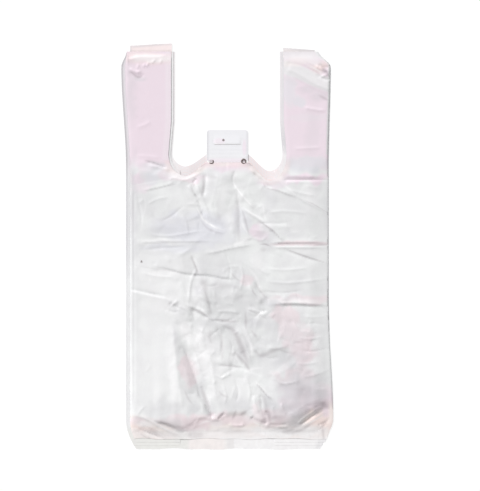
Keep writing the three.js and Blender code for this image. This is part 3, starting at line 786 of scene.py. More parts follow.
def film_piece(name, outline, height, tints, holes=(), crests=(), step=FINE_STEP, wall=FILM_WALL):
    """A closed piece of film whose upper face has the given heights; its under face is coarser."""
    loops = [spaced(closed(loop), step) for loop in [outline, *holes]]
    rims = [closed(loop) for loop in loops]
    under_step = max(step, UNDER_STEP)
    upper_grid = film_grid(outline, holes, rims, crests, step)
    under_grid = film_grid(outline, holes, rims, [], under_step)
    upper, upper_faces = flat_mesh(loops, upper_grid, outline, holes)
    under, under_faces = flat_mesh(loops, under_grid, outline, holes)
    rim_count = sum(len(loop) for loop in loops)
    top = height(upper[:, 0], upper[:, 1])
    bottom = lowest_near(upper, top, under, under_step) - wall
    bottom[:rim_count] = top[:rim_count] - wall
    bottom = np.maximum(bottom, LOWEST)
    points = np.vstack([np.column_stack([upper, top]), np.column_stack([under, bottom])])
    count = len(upper)
    directed = {tuple(edge) for i, j in ((0, 1), (1, 2), (2, 0)) for edge in upper_faces[:, [i, j]]}
    rim = sorted((i, j) for i, j in directed if (j, i) not in directed)
    sides = [(i, i + count, j + count, j) for i, j in rim]
    faces = [*upper_faces.tolist(), *(under_faces[:, ::-1] + count).tolist(), *sides]
    mesh = film_mesh(name, points, faces, tints(points[:, 0], points[:, 1]))
    mesh.set_sharp_from_angle(angle=SHARP_ANGLE)
    return in_scene(name, mesh)


def disc(x, y, radius, count):
    turn = np.linspace(0, 2 * math.pi, count, endpoint=False)
    return np.column_stack([x + radius * np.cos(turn), y + radius * np.sin(turn)])


# Tints of the film. Blush: several layers lie close together. Cool: they part. Grey: mostly painted
# shade where the film turns steeply or lies in the shade of its folds, partly the grey tone of thin
# film.
# Milk: mostly painted light where the film faces the light, partly the milky tone of slack film.
# Rose: a deeper pink, where the layers gather at the right side and the lip. Salmon: crumpled corners
# and cut edges. Each patch has its centre, its reach and its share.

BLUSH_PATCHES = [
    ((112, 271), (32, 8), 0.7), ((0, 116), (22, 7), 1.0), ((-62, 104), (26, 8), 0.7),
    ((-90, 102), (9, 8), 0.9), ((115, 101), (38, 9), 1.0), ((-135, 100), (11, 8), 0.9),
    ((70, 96), (26, 8), 0.7), ((-125, 92), (22, 10), 0.5), ((45, 22), (12, 10), 0.8),
    ((118, -228), (44, 22), 0.7), ((-136, -256), (16, 10), 0.5),
]
ROSE_PATCHES = [
    ((-66, 101), (30, 8), 0.5), ((108, 2.5), (42, 3.5), 0.9), ((28, -50), (11, 8), 0.8),
    ((110, -78), (42, 7), 0.8), ((88, -112), (16, 30), 0.9), ((110, -150), (18, 34), 1.0),
    ((-58, -186), (10, 22), 0.9), ((100, -195), (26, 26), 0.9), ((118, -228), (44, 22), 0.8),
    ((66, -250), (30, 16), 0.9), ((-20, -258), (90, 10), 0.9), ((-52, -262), (30, 12), 1.0),
]
COOL_PATCHES = [
    ((93, 228), (9, 22), 0.7), ((105, 214), (9, 9), 0.8), ((120, 190), (34, 5), 0.25),
    ((118, 121), (36, 9), 0.8), ((-138, 120), (8, 14), 0.2), ((-98, 112), (24, 10), 0.6),
    ((-110, 98), (12, 9), 0.8), ((20, 36), (14, 20), 0.5), ((-48, 28), (58, 24), 0.9),
    ((-80, -2), (46, 7), 0.7), ((95, -243), (24, 26), 0.6),
]
# Mostly painted shade: patches darkened where the folds and slopes of the film turn from the light
GREY_SHADE_PATCHES = [
    ((118, 258), (34, 6), 0.1), ((-132, 248), (10, 3), 0.5), ((100, 246), (13, 6), 0.15),
    ((120, 231), (13, 6), 0.35), ((-144, 228), (8, 40), 0.3), ((132, 228), (18, 7), 0.15),
    ((136, 222), (14, 8), 0.35), ((128, 168), (12, 40), 0.2), ((118, 122), (36, 9), 0.3),
    ((-112, 118), (20, 5), 0.3), ((-9, 110), (16, 9), 0.35), ((-24, 108), (10, 7), 0.3),
    ((92, 103), (12, 8), 0.3), ((-110, 98), (28, 8), 0.35), ((74, 90), (22, 6), 0.35),
    ((-66, 89), (16, 8), 0.3), ((-33, 88), (12, 20), 0.35), ((65, 68), (9, 18), 0.35),
    ((-118, 60), (22, 22), 0.2), ((104, 60), (44, 36), 0.1), ((-66, 52), (8, 6), 0.3),
    ((146, 50), (6, 30), 0.3), ((-140, 48), (6, 76), 0.5), ((-86, 38), (30, 6), 0.25),
    ((-92, 21), (28, 9), 0.25), ((92, 17), (20, 7), 0.3), ((60, 14), (14, 14), 0.5),
    ((-96, -12), (24, 5), 0.3), ((-110, -22), (30, 12), 0.15), ((-40, -35), (14, 20), 0.32),
    ((11, -54), (10, 9), 0.5), ((14, -58), (16, 10), 0.3), ((96, -60), (36, 16), 0.2),
    ((-41, -66), (8, 6), 0.6), ((2, -68), (44, 48), 0.28), ((92, -76), (20, 4), 0.4),
    ((-137, -80), (9, 80), 0.2), ((58, -84), (8, 10), 0.4), ((68, -86), (12, 7), 0.6),
    ((-73, -91), (11, 8), 0.3), ((63, -94), (20, 8), 0.3), ((-12, -115), (34, 12), 0.35),
    ((38, -115), (16, 8), 0.6), ((68, -118), (16, 10), 0.4), ((-20, -130), (20, 20), 0.2),
    ((-83, -132), (7, 18), 0.1), ((-79, -132), (5, 14), 0.45), ((110, -140), (40, 24), 0.22),
    ((66, -142), (22, 7), 0.45), ((85, -142), (32, 42), 0.4), ((146, -145), (6, 34), 0.1),
    ((-73, -146), (4, 26), 0.15), ((22, -150), (14, 28), 0.3), ((51, -150), (9, 6), 0.35),
    ((51, -161), (9, 8), 0.4), ((107, -161), (15, 9), 0.5), ((85, -166), (26, 12), 0.6),
    ((100, -176), (24, 10), 0.5), ((115, -188), (11, 8), 0.5), ((-52, -205), (14, 32), 0.2),
    ((-39, -208), (8, 18), 0.4), ((106, -212), (34, 30), 0.8), ((60, -232), (10, 10), 0.7),
    ((12, -236), (20, 14), 0.4), ((70, -238), (10, 12), 0.5), ((-50, -240), (12, 8), 0.4),
    ((22, -240), (16, 12), 0.35), ((96, -240), (22, 14), 0.7), ((-96, -244), (24, 14), 0.35),
    ((-24, -244), (10, 10), 0.4), ((70, -250), (16, 6), 0.4),
]
# Mostly painted light: patches brightened where the film's folds and slopes face the light
MILK_LIGHT_PATCHES = [
    ((-116, 278), (40, 6), 0.7), ((112, 275), (38, 8), 0.5), ((114, 254), (34, 6), 0.2),
    ((-70, 104), (22, 6), 0.8), ((60, 100), (24, 6), 0.5), ((-39, 83), (7, 5), 0.5),
    ((-30, 78), (14, 22), 0.3), ((-8, 78), (8, 18), 0.5), ((125, 72), (10, 20), 0.6),
    ((-60, 66), (26, 20), 0.3), ((-70, 38), (44, 5), 0.2), ((-55, 36), (9, 8), 0.35),
    ((3, 35), (8, 12), 0.5), ((56, 28), (9, 8), 0.7), ((-92, 6), (40, 4), 0.6),
    ((115, -8), (28, 5), 0.4), ((140, -16), (10, 8), 0.4), ((-58, -18), (8, 20), 0.4),
    ((43, -22), (9, 14), 0.6), ((112, -30), (40, 20), 0.1), ((-98, -32), (44, 24), 0.6),
    ((-58, -42), (14, 8), 0.3), ((-92, -60), (34, 8), 0.6), ((-52, -72), (22, 20), 0.5),
    ((14, -74), (10, 6), 0.6), ((5, -78), (46, 5), 0.25), ((48, -78), (7, 7), 0.6),
    ((96, -82), (44, 5), 0.6), ((-95, -88), (44, 16), 0.6), ((-78, -98), (30, 12), 0.25),
    ((-61, -126), (9, 14), 1.0), ((27, -135), (6, 12), 0.7), ((132, -139), (8, 14), 0.5),
    ((-54, -142), (8, 14), 0.7), ((-27, -147), (8, 22), 0.9), ((133, -152), (7, 36), 0.6),
    ((-88, -155), (6, 50), 0.6), ((-40, -158), (14, 36), 0.9), ((8, -163), (6, 9), 0.7),
    ((-112, -170), (32, 90), 0.5), ((-18, -170), (10, 36), 0.5), ((-81, -175), (7, 66), 1.0),
    ((138, -190), (8, 8), 0.5), ((-12, -197), (10, 6), 0.5), ((75, -205), (16, 6), 0.3),
    ((138, -206), (12, 18), 0.5), ((-62, -215), (5, 24), 0.5), ((0, -215), (44, 26), 0.35),
    ((-71, -222), (5, 20), 0.5), ((42, -240), (9, 18), 0.4), ((77, -242), (6, 8), 0.4),
    ((33, -245), (10, 10), 0.6), ((34, -246), (10, 14), 0.5), ((-120, -262), (14, 6), 0.8),
    ((-86, -262), (18, 7), 0.5), ((-16, -264), (10, 6), 0.5), ((70, -276), (50, 8), 1.0),
    ((120, -276), (30, 10), 0.9), ((-134, -278), (16, 16), 0.1), ((-10, -280), (150, 10), 0.8),
    ((-133, -284), (9, 9), 0.5), ((40, -290), (160, 10), 1.0),
]
SALMON_PATCHES = [
    ((-118, 278), (38, 9), 0.6), ((102, 272), (22, 7), 0.4), ((136, 266), (12, 9), 0.8),
    ((-80, 112), (12, 6), 0.5), ((-118, -262), (10, 7), 0.5), ((136, -264), (14, 18), 0.8),
    ((-130, -276), (20, 15), 0.7), ((-100, -284), (26, 7), 0.8), ((-16, -284), (24, 8), 0.4),
    ((40, -284), (14, 10), 0.6), ((106, -286), (34, 7), 0.6),
]

# Marks along creases, each with a share, how wide it is and its path. Whitened: painted highlights
# along crease crests, partly the milky whitening of film folded hard. Shaded: painted shade along
# creases, and painted shadow in the pockets and tucks round the lip.
WHITENED_CREASE_HIGHLIGHTS = [
    (0.8, 1.0, [(113, 268), (131, 262), (144, 252)]),
    (0.4, 2.0, [(153, 243), (153, 187), (153, 131)]),
    (0.4, 3.0, [(-76, 111), (-60, 107), (-44, 110)]),
    (0.4, 3.0, [(38, 111), (51, 104), (66, 100)]),
    (0.6, 1.8, [(-30, 110), (-30, 95), (-32, 80)]),
    (0.6, 3.0, [(-88, 101), (-70, 102), (-53, 105)]),
    (0.8, 1.2, [(-60, 95), (-56, 86), (-51, 80)]),
    (1.0, 1.4, [(7, 95), (18, 80), (29, 67), (42, 55)]),
    (0.7, 1.3, [(79, 94), (91, 85), (103, 73)]),
    (0.6, 1.4, [(-144, 89), (-115, 94), (-82, 100), (-53, 104)]),
    (0.5, 1.3, [(-76, 82), (-61, 89), (-44, 98)]),
    (0.5, 1.2, [(-125, 80), (-121, 60), (-127, 36)]),
    (0.8, 1.3, [(-122, 80), (-100, 85), (-70, 92)]),
    (1.0, 1.5, [(-51, 65), (-42, 51), (-35, 39), (-24, 31), (-16, 27), (-5, 24)]),
    (0.7, 1.4, [(53, 61), (54, 49), (58, 34)]),
    (1.0, 1.6, [(24, 57), (36, 48), (48, 42), (60, 30)]),
    (0.7, 1.2, [(21, 39), (24, 28), (29, 20)]),
    (0.5, 1.2, [(84, 14), (92, 20), (109, 23)]),
    (0.6, 1.8, [(1, 0), (18, 5), (42, 8)]),
    (0.9, 1.5, [(-54, -13), (-48, -19), (-44, -26)]),
    (0.8, 2.6, [(29, -29), (42, -46), (48, -62), (58, -74)]),
    (1.0, 1.4, [(-60, -46), (-50, -46), (-39, -47)]),
    (0.5, 1.3, [(-147, -65), (-115, -74), (-82, -81), (-61, -87)]),
    (0.8, 1.4, [(-48, -83), (-39, -93), (-27, -105)]),
    (0.4, 1.4, [(39, -88), (45, -94), (58, -103)]),
    (0.5, 2.0, [(153, -97), (155, -154), (156, -225)]),
    (0.7, 2.6, [(-70, -118), (-60, -133), (-53, -151)]),
    (0.9, 1.8, [(18, -121), (27, -134), (35, -149), (36, -168)]),
    (0.6, 1.6, [(-17, -125), (-16, -146), (-16, -171)]),
    (0.5, 3.4, [(-29, -143), (-24, -168), (-24, -195)]),
    (0.8, 1.6, [(4, -154), (13, -165), (21, -179)]),
    (0.6, 1.7, [(17, -194), (33, -183), (53, -179)]),
    (0.6, 1.2, [(-36, -199), (-21, -199), (-7, -198)]),
    (0.8, 1.2, [(44, -202), (56, -214), (67, -226)]),
    (0.8, 2.2, [(-29, -220), (-26, -233), (-22, -241)]),
    (0.5, 2.4, [(33, -228), (36, -245), (45, -254)]),
    (0.9, 2.5, [(-135, -248), (-115, -257), (-95, -263)]),
    (0.9, 1.8, [(-132, -251), (-112, -261), (-91, -271), (-61, -281)]),
    (0.6, 1.4, [(35, -257), (45, -263), (60, -268)]),
    (0.5, 3.0, [(103, -259), (122, -250), (140, -241)]),
    (0.6, 1.3, [(-44, -265), (-32, -259), (-17, -259)]),
    (0.7, 1.2, [(87, -268), (101, -263), (119, -250), (140, -236)]),
    (0.7, 1.3, [(-132, -270), (-115, -278), (-94, -284), (-73, -285)]),
    (0.7, 1.3, [(107, -272), (125, -259), (146, -247)]),
]
# Painted shade along creases and painted shadow in the pockets round the lip
SHADED = [
    (0.35, 1.4, [(-147, 283), (-146, 267)]),
    (0.15, 1.0, [(112, 273), (128, 267), (143, 256)]),
    (0.5, 3.2, [(138, 268), (149, 253)]),
    (0.15, 1.0, [(116, 265), (131, 258), (141, 249)]),
    (0.35, 1.6, [(-147, 261), (-132, 250), (-122, 256)]),
    (0.3, 2.2, [(134, 224), (143, 219), (150, 215)]),
    (0.28, 4.0, [(-144, 131), (-144, 105), (-143, 80)]),
    (0.35, 1.4, [(-124, 128), (-106, 122), (-88, 116)]),
    (0.4, 1.8, [(26, 123), (42, 119)]),
    (0.25, 3.5, [(27, 122), (51, 117)]),
    (0.2, 3.0, [(20, 120), (45, 119)]),
    (0.4, 1.6, [(-48, 119), (-35, 120)]),
    (0.25, 3.5, [(-56, 116), (-35, 122)]),
    (0.15, 2.0, [(11, 110), (10, 94)]),
    (0.28, 2.2, [(-36, 108), (-36, 89), (-39, 71)]),
    (0.15, 3.5, [(-32, 105), (-17, 101)]),
    (0.15, 3.0, [(-29, 104), (-14, 101)]),
    (0.15, 2.6, [(-48, 102), (-47, 91)]),
    (0.3, 2.5, [(-47, 102), (-50, 88)]),
    (0.35, 1.3, [(82, 99), (115, 99), (149, 99)]),
    (0.28, 1.2, [(51, 97), (58, 86), (72, 83), (87, 77), (103, 71)]),
    (0.2, 1.5, [(-56, 86), (-48, 76), (-41, 68)]),
    (0.1, 5.0, [(-143, 80), (-141, 51), (-141, 21)]),
    (0.16, 4.4, [(13, 76), (14, 46), (11, 8)]),
    (0.3, 1.1, [(103, 71), (125, 63), (150, 48)]),
    (0.3, 1.7, [(21, 55), (26, 39), (32, 17)]),
    (0.12, 4.4, [(-14, 49), (-8, 31)]),
    (0.22, 1.6, [(-41, 40), (-30, 27), (-17, 21), (-4, 18)]),
    (0.2, 4.0, [(16, 39), (17, 8)]),
    (0.4, 1.3, [(47, 37), (63, 26), (73, 17), (79, 9)]),
    (0.22, 1.4, [(20, 9), (33, 12), (45, 17)]),
    (0.5, 1.3, [(48, 3), (56, 3), (64, 0)]),
    (0.35, 1.6, [(127, 2), (152, 3)]),
    (0.4, 1.2, [(84, -3), (112, -14), (147, -25)]),
    (0.2, 3.4, [(48, -4), (58, -6)]),
    (0.28, 1.8, [(-54, -14), (-48, -29), (-42, -43)]),
    (0.12, 1.2, [(-144, -26), (-115, -32), (-82, -37), (-61, -43)]),
    (0.25, 1.5, [(5, -38), (11, -46), (18, -51)]),
    (0.28, 6.0, [(-38, -48), (-30, -68)]),
    (0.22, 3.0, [(-36, -54), (-32, -74), (-24, -99)]),
    (0.22, 1.8, [(42, -54), (48, -66), (56, -75), (61, -84)]),
    (0.15, 5.0, [(-33, -59), (-8, -59), (16, -60)]),
    (0.3, 1.4, [(35, -62), (39, -69), (44, -74)]),
    (0.3, 1.5, [(-57, -90), (-41, -97), (-27, -106)]),
    (0.2, 1.4, [(29, -93), (42, -99), (60, -108)]),
    (0.3, 2.0, [(27, -96), (27, -125)]),
    (0.34, 2.0, [(-21, -108), (1, -111), (20, -111)]),
    (0.37, 4.6, [(-6, -117), (8, -124), (17, -141), (26, -163), (32, -182)]),
    (0.26, 2.4, [(-10, -121), (-8, -146), (-8, -171)]),
    (0.15, 3.2, [(-26, -122), (-26, -143)]),
    (0.26, 2.2, [(35, -124), (44, -136)]),
    (0.25, 1.8, [(69, -148), (81, -154), (91, -158)]),
    (0.3, 3.2, [(38, -152), (50, -162), (66, -155), (90, -146)]),
    (0.35, 2.4, [(11, -157), (21, -168), (29, -180)]),
    (0.4, 3.0, [(20, -164), (27, -174), (33, -185)]),
    (0.2, 4.0, [(82, -174), (103, -154)]),
    (0.36, 1.3, [(-16, -177), (1, -177), (20, -179)]),
    (0.25, 4.0, [(110, -192), (127, -182)]),
    (0.35, 1.0, [(38, -199), (50, -211), (63, -226)]),
    (0.3, 16.0, [(107, -204), (118, -231)]),
    (0.34, 3.6, [(-39, -208), (-32, -228), (-26, -248)]),
    (0.22, 1.6, [(-64, -211), (-58, -225), (-50, -235)]),
    (0.24, 1.5, [(-13, -214), (-7, -220), (2, -223)]),
    (0.2, 3.0, [(49, -216), (55, -229), (59, -257)]),
    (0.3, 4.0, [(137, -229), (152, -241)]),
    (0.55, 4.5, [(56, -239), (61, -250), (64, -262)]),
    (0.4, 2.4, [(-27, -242), (-23, -256)]),
    (0.3, 3.4, [(100, -242), (121, -232), (140, -225)]),
    (0.4, 2.2, [(18, -250), (30, -242)]),
    (0.24, 7.0, [(51, -251), (78, -244), (107, -232), (134, -222)]),
    (0.5, 2.2, [(-14, -256), (-5, -244)]),
    (0.4, 2.2, [(7, -256), (13, -242)]),
    (0.34, 5.5, [(-106, -257), (-90, -263), (-73, -269), (-60, -273)]),
    (0.3, 3.0, [(-27, -257), (-21, -247)]),
    (0.3, 2.0, [(140, -259), (143, -296)]),
    (0.45, 5.0, [(54, -260), (67, -254), (88, -250)]),
    (0.25, 1.3, [(-122, -265), (-106, -273), (-88, -282)]),
    (0.4, 4.0, [(48, -265), (60, -247)]),
    (0.18, 5.0, [(51, -265), (72, -269), (92, -272)]),
    (0.4, 1.6, [(137, -266), (149, -256)]),
    (0.3, 1.6, [(-128, -268), (-113, -275), (-97, -284)]),
    (0.5, 1.1, [(-131, -269), (-115, -276), (-92, -284)]),
    (0.35, 2.5, [(-116, -270), (-98, -281)]),
    (0.12, 5.0, [(84, -273), (98, -266), (113, -257)]),
    (0.3, 1.3, [(134, -273), (141, -266), (147, -259)]),
    (0.35, 4.5, [(78, -274), (90, -273), (102, -266)]),
    (0.18, 3.5, [(-8, -276), (36, -275)]),
    (0.45, 1.1, [(-128, -278), (-115, -285), (-97, -288), (-76, -288)]),
    (0.2, 3.5, [(-115, -278), (-88, -279), (-64, -278)]),
    (0.25, 3.5, [(-61, -278), (-32, -278)]),
    (0.35, 3.0, [(85, -278), (107, -272), (131, -259)]),
    (0.2, 4.0, [(-61, -281), (-33, -282)]),
]

# Where the right handle's end has been folded over
FOLD_OVER = curve([(87, 264), (107, 257), (125, 248), (150, 238)])

# The noise that makes the rims of the patches ragged: how far, cell size and seed
RAGGED = [(11, 15, 3), (6, 7, 4)]

# A small dark spot near the left side
SPOT_X, SPOT_Y, SPOT_SIZE = -127.0, -22.6, 1.1

# The places between which a tint fades, from nothing to full, by Y and by X
Y_PALE_TOP = (272, 282)
Y_UPPER_BODY = (-60, 20)
Y_LEFT_FOLD = (-110, 20)
Y_LIP_FOOT = -252
Y_SPECKLED = (-256, -268)
Y_BARE = (-270, -285)
Y_UNDER_BARE = (-262, -278)
X_BARE = (-52, -66)
X_SPECKLED = (40, 60)
X_PINK = ((-66, -54), (4, -8))
X_UNDER_PINK = ((-62, -54), (2, -8))


def strokes(marks, x, y):
    """The strongest mark at each point."""
    total = np.zeros(np.shape(x))
    for share, width, points in marks:
        path = curve(points)
        low, high = path.min(0) - 3 * width, path.max(0) + 3 * width
        near = (x > low[0]) & (x < high[0]) & (y > low[1]) & (y < high[1])
        far, _, along = to_path(path, x[near], y[near])
        taper = np.sqrt(np.sin(math.pi * np.clip(along, 0.04, 0.96)))
        mark = share * taper * np.exp(-(far / (width * taper))**2)
        total[near] = np.maximum(total[near], mark)
    return total


def most_of(patches, x, y, ragged, soft=0.35):
    """The strongest patch at each point; a wide patch has a more ragged rim than a narrow one."""
    total = np.zeros(x.shape)
    for centre, reach, share in patches:
        shift = ragged * min(1, min(reach) / 16)
        total = np.maximum(total, share * patch(x + shift, y - shift, centre, reach, soft))
    return total


def front_tints(x, y):
    """The share of each tint at each point of the front film."""
    ragged = sum(far * lattice_noise(x, y, size, seed) for far, size, seed in RAGGED)
    is_left, is_right = x < 0, x > 0
    to_side = from_fold(FRONT, x, y)
    to_mouth = mouth_distance(x, y)
    from_lip, lip_side, _ = to_path(LIP_CREST, x, y)
    skirt = smooth(4, -8, from_lip * np.sign(lip_side))
    cool = most_of(COOL_PATCHES, x, y, 0.6 * ragged)

    # Blush fills the handles, apart from the right one's edge, its top and its folded end
    in_handle = smooth(Y_MOUTH - 6, Y_MOUTH + 12, y + 0.6 * ragged)
    in_handle = in_handle * np.where(is_left, 1.0, 0.95 - 0.6 * smooth(*Y_PALE_TOP, y))
    blush = np.maximum(most_of(BLUSH_PATCHES, x, y, ragged), in_handle) * (1 - 0.85 * cool)
    blush = blush * (1 - smooth(4, 1.5, to_side) * is_right * (y > Y_MOUTH + 20))
    fold_over = smooth(12, 8, to_path(FOLD_OVER, x, y)[0]) * (y > Y_MOUTH)
    blush = blush * (1 - 0.8 * fold_over)

    # Milk, partly painted light and painted highlights along crease crests, keeps away from the side
    # folds above the lip
    milk_and_light = most_of(MILK_LIGHT_PATCHES, x, y, 0.5 * ragged, 0.6)
    milk_and_light = milk_and_light * np.maximum(smooth(2, 16, to_side), y < Y_LIP_FOOT)
    by_mouth = smooth(11, 5, to_mouth) * (y > Y_MOUTH + 12) * is_left
    milk_and_light = np.maximum.reduce([milk_and_light, strokes(WHITENED_CREASE_HIGHLIGHTS, x, y), 0.25 * by_mouth])

    # Grey also runs down the left side fold as painted shade, and speckles the skirt with painted
    # shade among its crinkles
    grey_tone_and_shade = most_of(GREY_SHADE_PATCHES, x, y, 0.7 * ragged, 0.7)
    at_fold = between((1.5, 3.5), (7.5, 5), to_side) * is_left
    at_fold = at_fold * between(Y_LEFT_FOLD, (Y_MOUTH + 10, Y_MOUTH - 10), y)
    speckle = np.clip(lattice_noise(x, y, 1.9, 71), 0, 1) * skirt * smooth(*Y_SPECKLED, y)
    speckle = speckle * (0.4 + 0.6 * smooth(*X_SPECKLED, np.abs(x)))
    grey_tone_and_shade = np.maximum.reduce([grey_tone_and_shade, 0.6 * at_fold, 0.2 * speckle])

    # Bare film ends lie at the foot of the skirt, mostly left of the middle
    bare = skirt * smooth(*Y_BARE, y) * (0.25 + 0.75 * smooth(*X_BARE, x))
    bare = bare * (1 - between(*X_PINK, x))
    at_mouth = smooth(10, 4, to_mouth) * smooth(Y_MOUTH + 16, Y_MOUTH + 8, y)
    salmon = np.maximum(most_of(SALMON_PATCHES, x, y, 0.6 * ragged, 0.6), 0.4 * at_mouth)
    dark_mark_and_shadow = smooth(SPOT_SIZE + 0.8, SPOT_SIZE - 0.5, np.hypot(x - SPOT_X, y - SPOT_Y))
    return {
        "blush": blush, "rose": most_of(ROSE_PATCHES, x, y, ragged), "cool": cool, "grey_tone_and_shade": grey_tone_and_shade,
        "milk_and_light": milk_and_light, "skirt": skirt, "salmon": salmon, "bare": bare,
        "shade": strokes(SHADED, x, y), "dark_mark_and_shadow": dark_mark_and_shadow,
    }


# Materials

class Value:
    """A socket that can be added and multiplied as a number."""

    def __init__(self, graph, socket):
        self.graph = graph
        self.socket = socket

    def _maths(self, operation, first, second):
        return self.graph.value("ShaderNodeMath", {"operation": operation}, {0: first, 1: second})

    def __add__(self, other):
        return self._maths("ADD", self, other)

    def __mul__(self, other):
        return self._maths("MULTIPLY", self, other)

    __radd__ = __add__
    __rmul__ = __mul__


class Graph:
    """The node tree of one material or of the world."""

    def __init__(self, owner):
        owner.use_nodes = True
        self.tree = owner.node_tree
        self.tree.nodes.clear()

    def node(self, kind, settings=None, sockets=None):
        made = self.tree.nodes.new(kind)
        for name, setting in (settings or {}).items():
            setattr(made, name, setting)
        for name, value in (sockets or {}).items():
            if isinstance(value, Value):
                value = value.socket
            if isinstance(value, bpy.types.NodeSocket):
                self.tree.links.new(value, made.inputs[name])
            else:
                made.inputs[name].default_value = value
        return made

    def value(self, kind, settings=None, sockets=None, output=0):
        return Value(self, self.node(kind, settings, sockets).outputs[output])

    def blend(self, factor, first, second):
        sockets = {0: factor, 6: first, 7: second}
        return self.value("ShaderNodeMix", {"data_type": "RGBA"}, sockets, output=2)


def srgb(red, green, blue):
    def linear(level):
        level /= 255
        return level / 12.92 if level <= 0.04045 else ((level + 0.055) / 1.055)**2.4
    return (linear(red), linear(green), linear(blue), 1)


WHITE_FILM = srgb(238, 239, 239)
MILKY_FILM = srgb(233, 233, 234)

# The tints in the order in which they are laid on: how strongly, and their colour. Grey and shade
# carry painted shade, milk painted light, and the dark mark tint a small dark spot and painted shadow
# at the tab's holes and notches.
TINT_COLOURS = {
    "skirt": (0.75, srgb(250, 236, 231)),
    "bare": (0.8, srgb(226, 226, 218)),
    "cool": (0.9, srgb(228, 228, 235)),
    "rose": (0.9, srgb(240, 225, 229)),
    "blush": (0.95, srgb(241, 225, 235)),
    "salmon": (0.9, srgb(250, 229, 224)),
    "milk_and_light": (0.9, srgb(251, 250, 251)),
    "grey_tone_and_shade": (1.0, srgb(205, 204, 208)),
    "shade": (1.0, srgb(150, 138, 143)),
    "dark_mark_and_shadow": (1.0, srgb(84, 62, 58)),
}
CLOUD_SCALE, SHEEN_SCALE, GRAIN_SCALE = 42, 90, 300
GRAIN_HEIGHT = 0.0005
ROUGH_LEAST, ROUGH_RANGE = 0.36, 0.16


def film_material(name, clear):
    """Thin milky film: tinted by how it lies, painted shade and painted light among the tints, with a
    soft sheen and a fine pressed grain.
    """
    material = bpy.data.materials.new(name)
    graph = Graph(material)
    place = graph.value("ShaderNodeTexCoord", output=3)

    def noise(scale, detail, stretch=(1, 1, 1)):
        mapped = graph.value("ShaderNodeMapping", sockets={"Vector": place, "Scale": stretch})
        return graph.value("ShaderNodeTexNoise", {"normalize": True}, {
            "Vector": mapped, "Scale": scale, "Detail": detail, "Roughness": 0.55,
        })

    mottle = graph.node("ShaderNodeValToRGB", sockets={"Fac": noise(CLOUD_SCALE, 4)})
    for element, position in zip(mottle.color_ramp.elements, (0.38, 0.62)):
        element.position = position
    colour = graph.blend(Value(graph, mottle.outputs[0]), MILKY_FILM, WHITE_FILM)
    for tint, (strength, shade) in TINT_COLOURS.items():
        share = graph.value("ShaderNodeAttribute", {"attribute_name": tint}, output=2)
        colour = graph.blend(share * strength, colour, shade)
    grain = noise(GRAIN_SCALE, 2, (1, 0.5, 1))
    streaks = noise(SHEEN_SCALE, 2, (1, 0.08, 1))
    bump = graph.node("ShaderNodeBump", sockets={
        "Height": grain * 0.5 + streaks * 0.5, "Strength": 0.2, "Distance": GRAIN_HEIGHT,
    })
    shader = graph.node("ShaderNodeBsdfPrincipled", sockets={
        "Base Color": colour,
        "Roughness": ROUGH_LEAST + noise(SHEEN_SCALE, 2) * ROUGH_RANGE,
        "IOR": 1.5,
        "Alpha": 1 - clear,
        "Normal": bump.outputs["Normal"],
    })
    graph.node("ShaderNodeOutputMaterial", sockets={"Surface": shader.outputs["BSDF"]})
    return material


def finished(piece, material):
    """Gives a piece its material and its place in the frame."""
    piece.data.materials.clear()
    piece.data.materials.append(material)
    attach(piece, "root")
    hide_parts(BAG)


# The pieces

def back_height(x, y):
    near_edge = smooth(9, 0, from_fold(BACK, x, y))
    lift = 0.6 + 0.5 * np.sin(y / 23 + x / 41)
    curl = 0.12 * lift * near_edge * np.where(x < 0, 1, 0.3) * smooth(Y_WELD, Y_PARTED, y)
    crinkle = 0.1 * lattice_noise(x, y * 1.4, 3.5, 51) * smooth(Y_WELD, Y_BOTTOM + 12, y)
    return LAYER_LIFT[BACK] + FILM_WALL + curl + crinkle


# How far in from a side fold the under layers may be seen beside the front film
SIDE_STRIP = 20


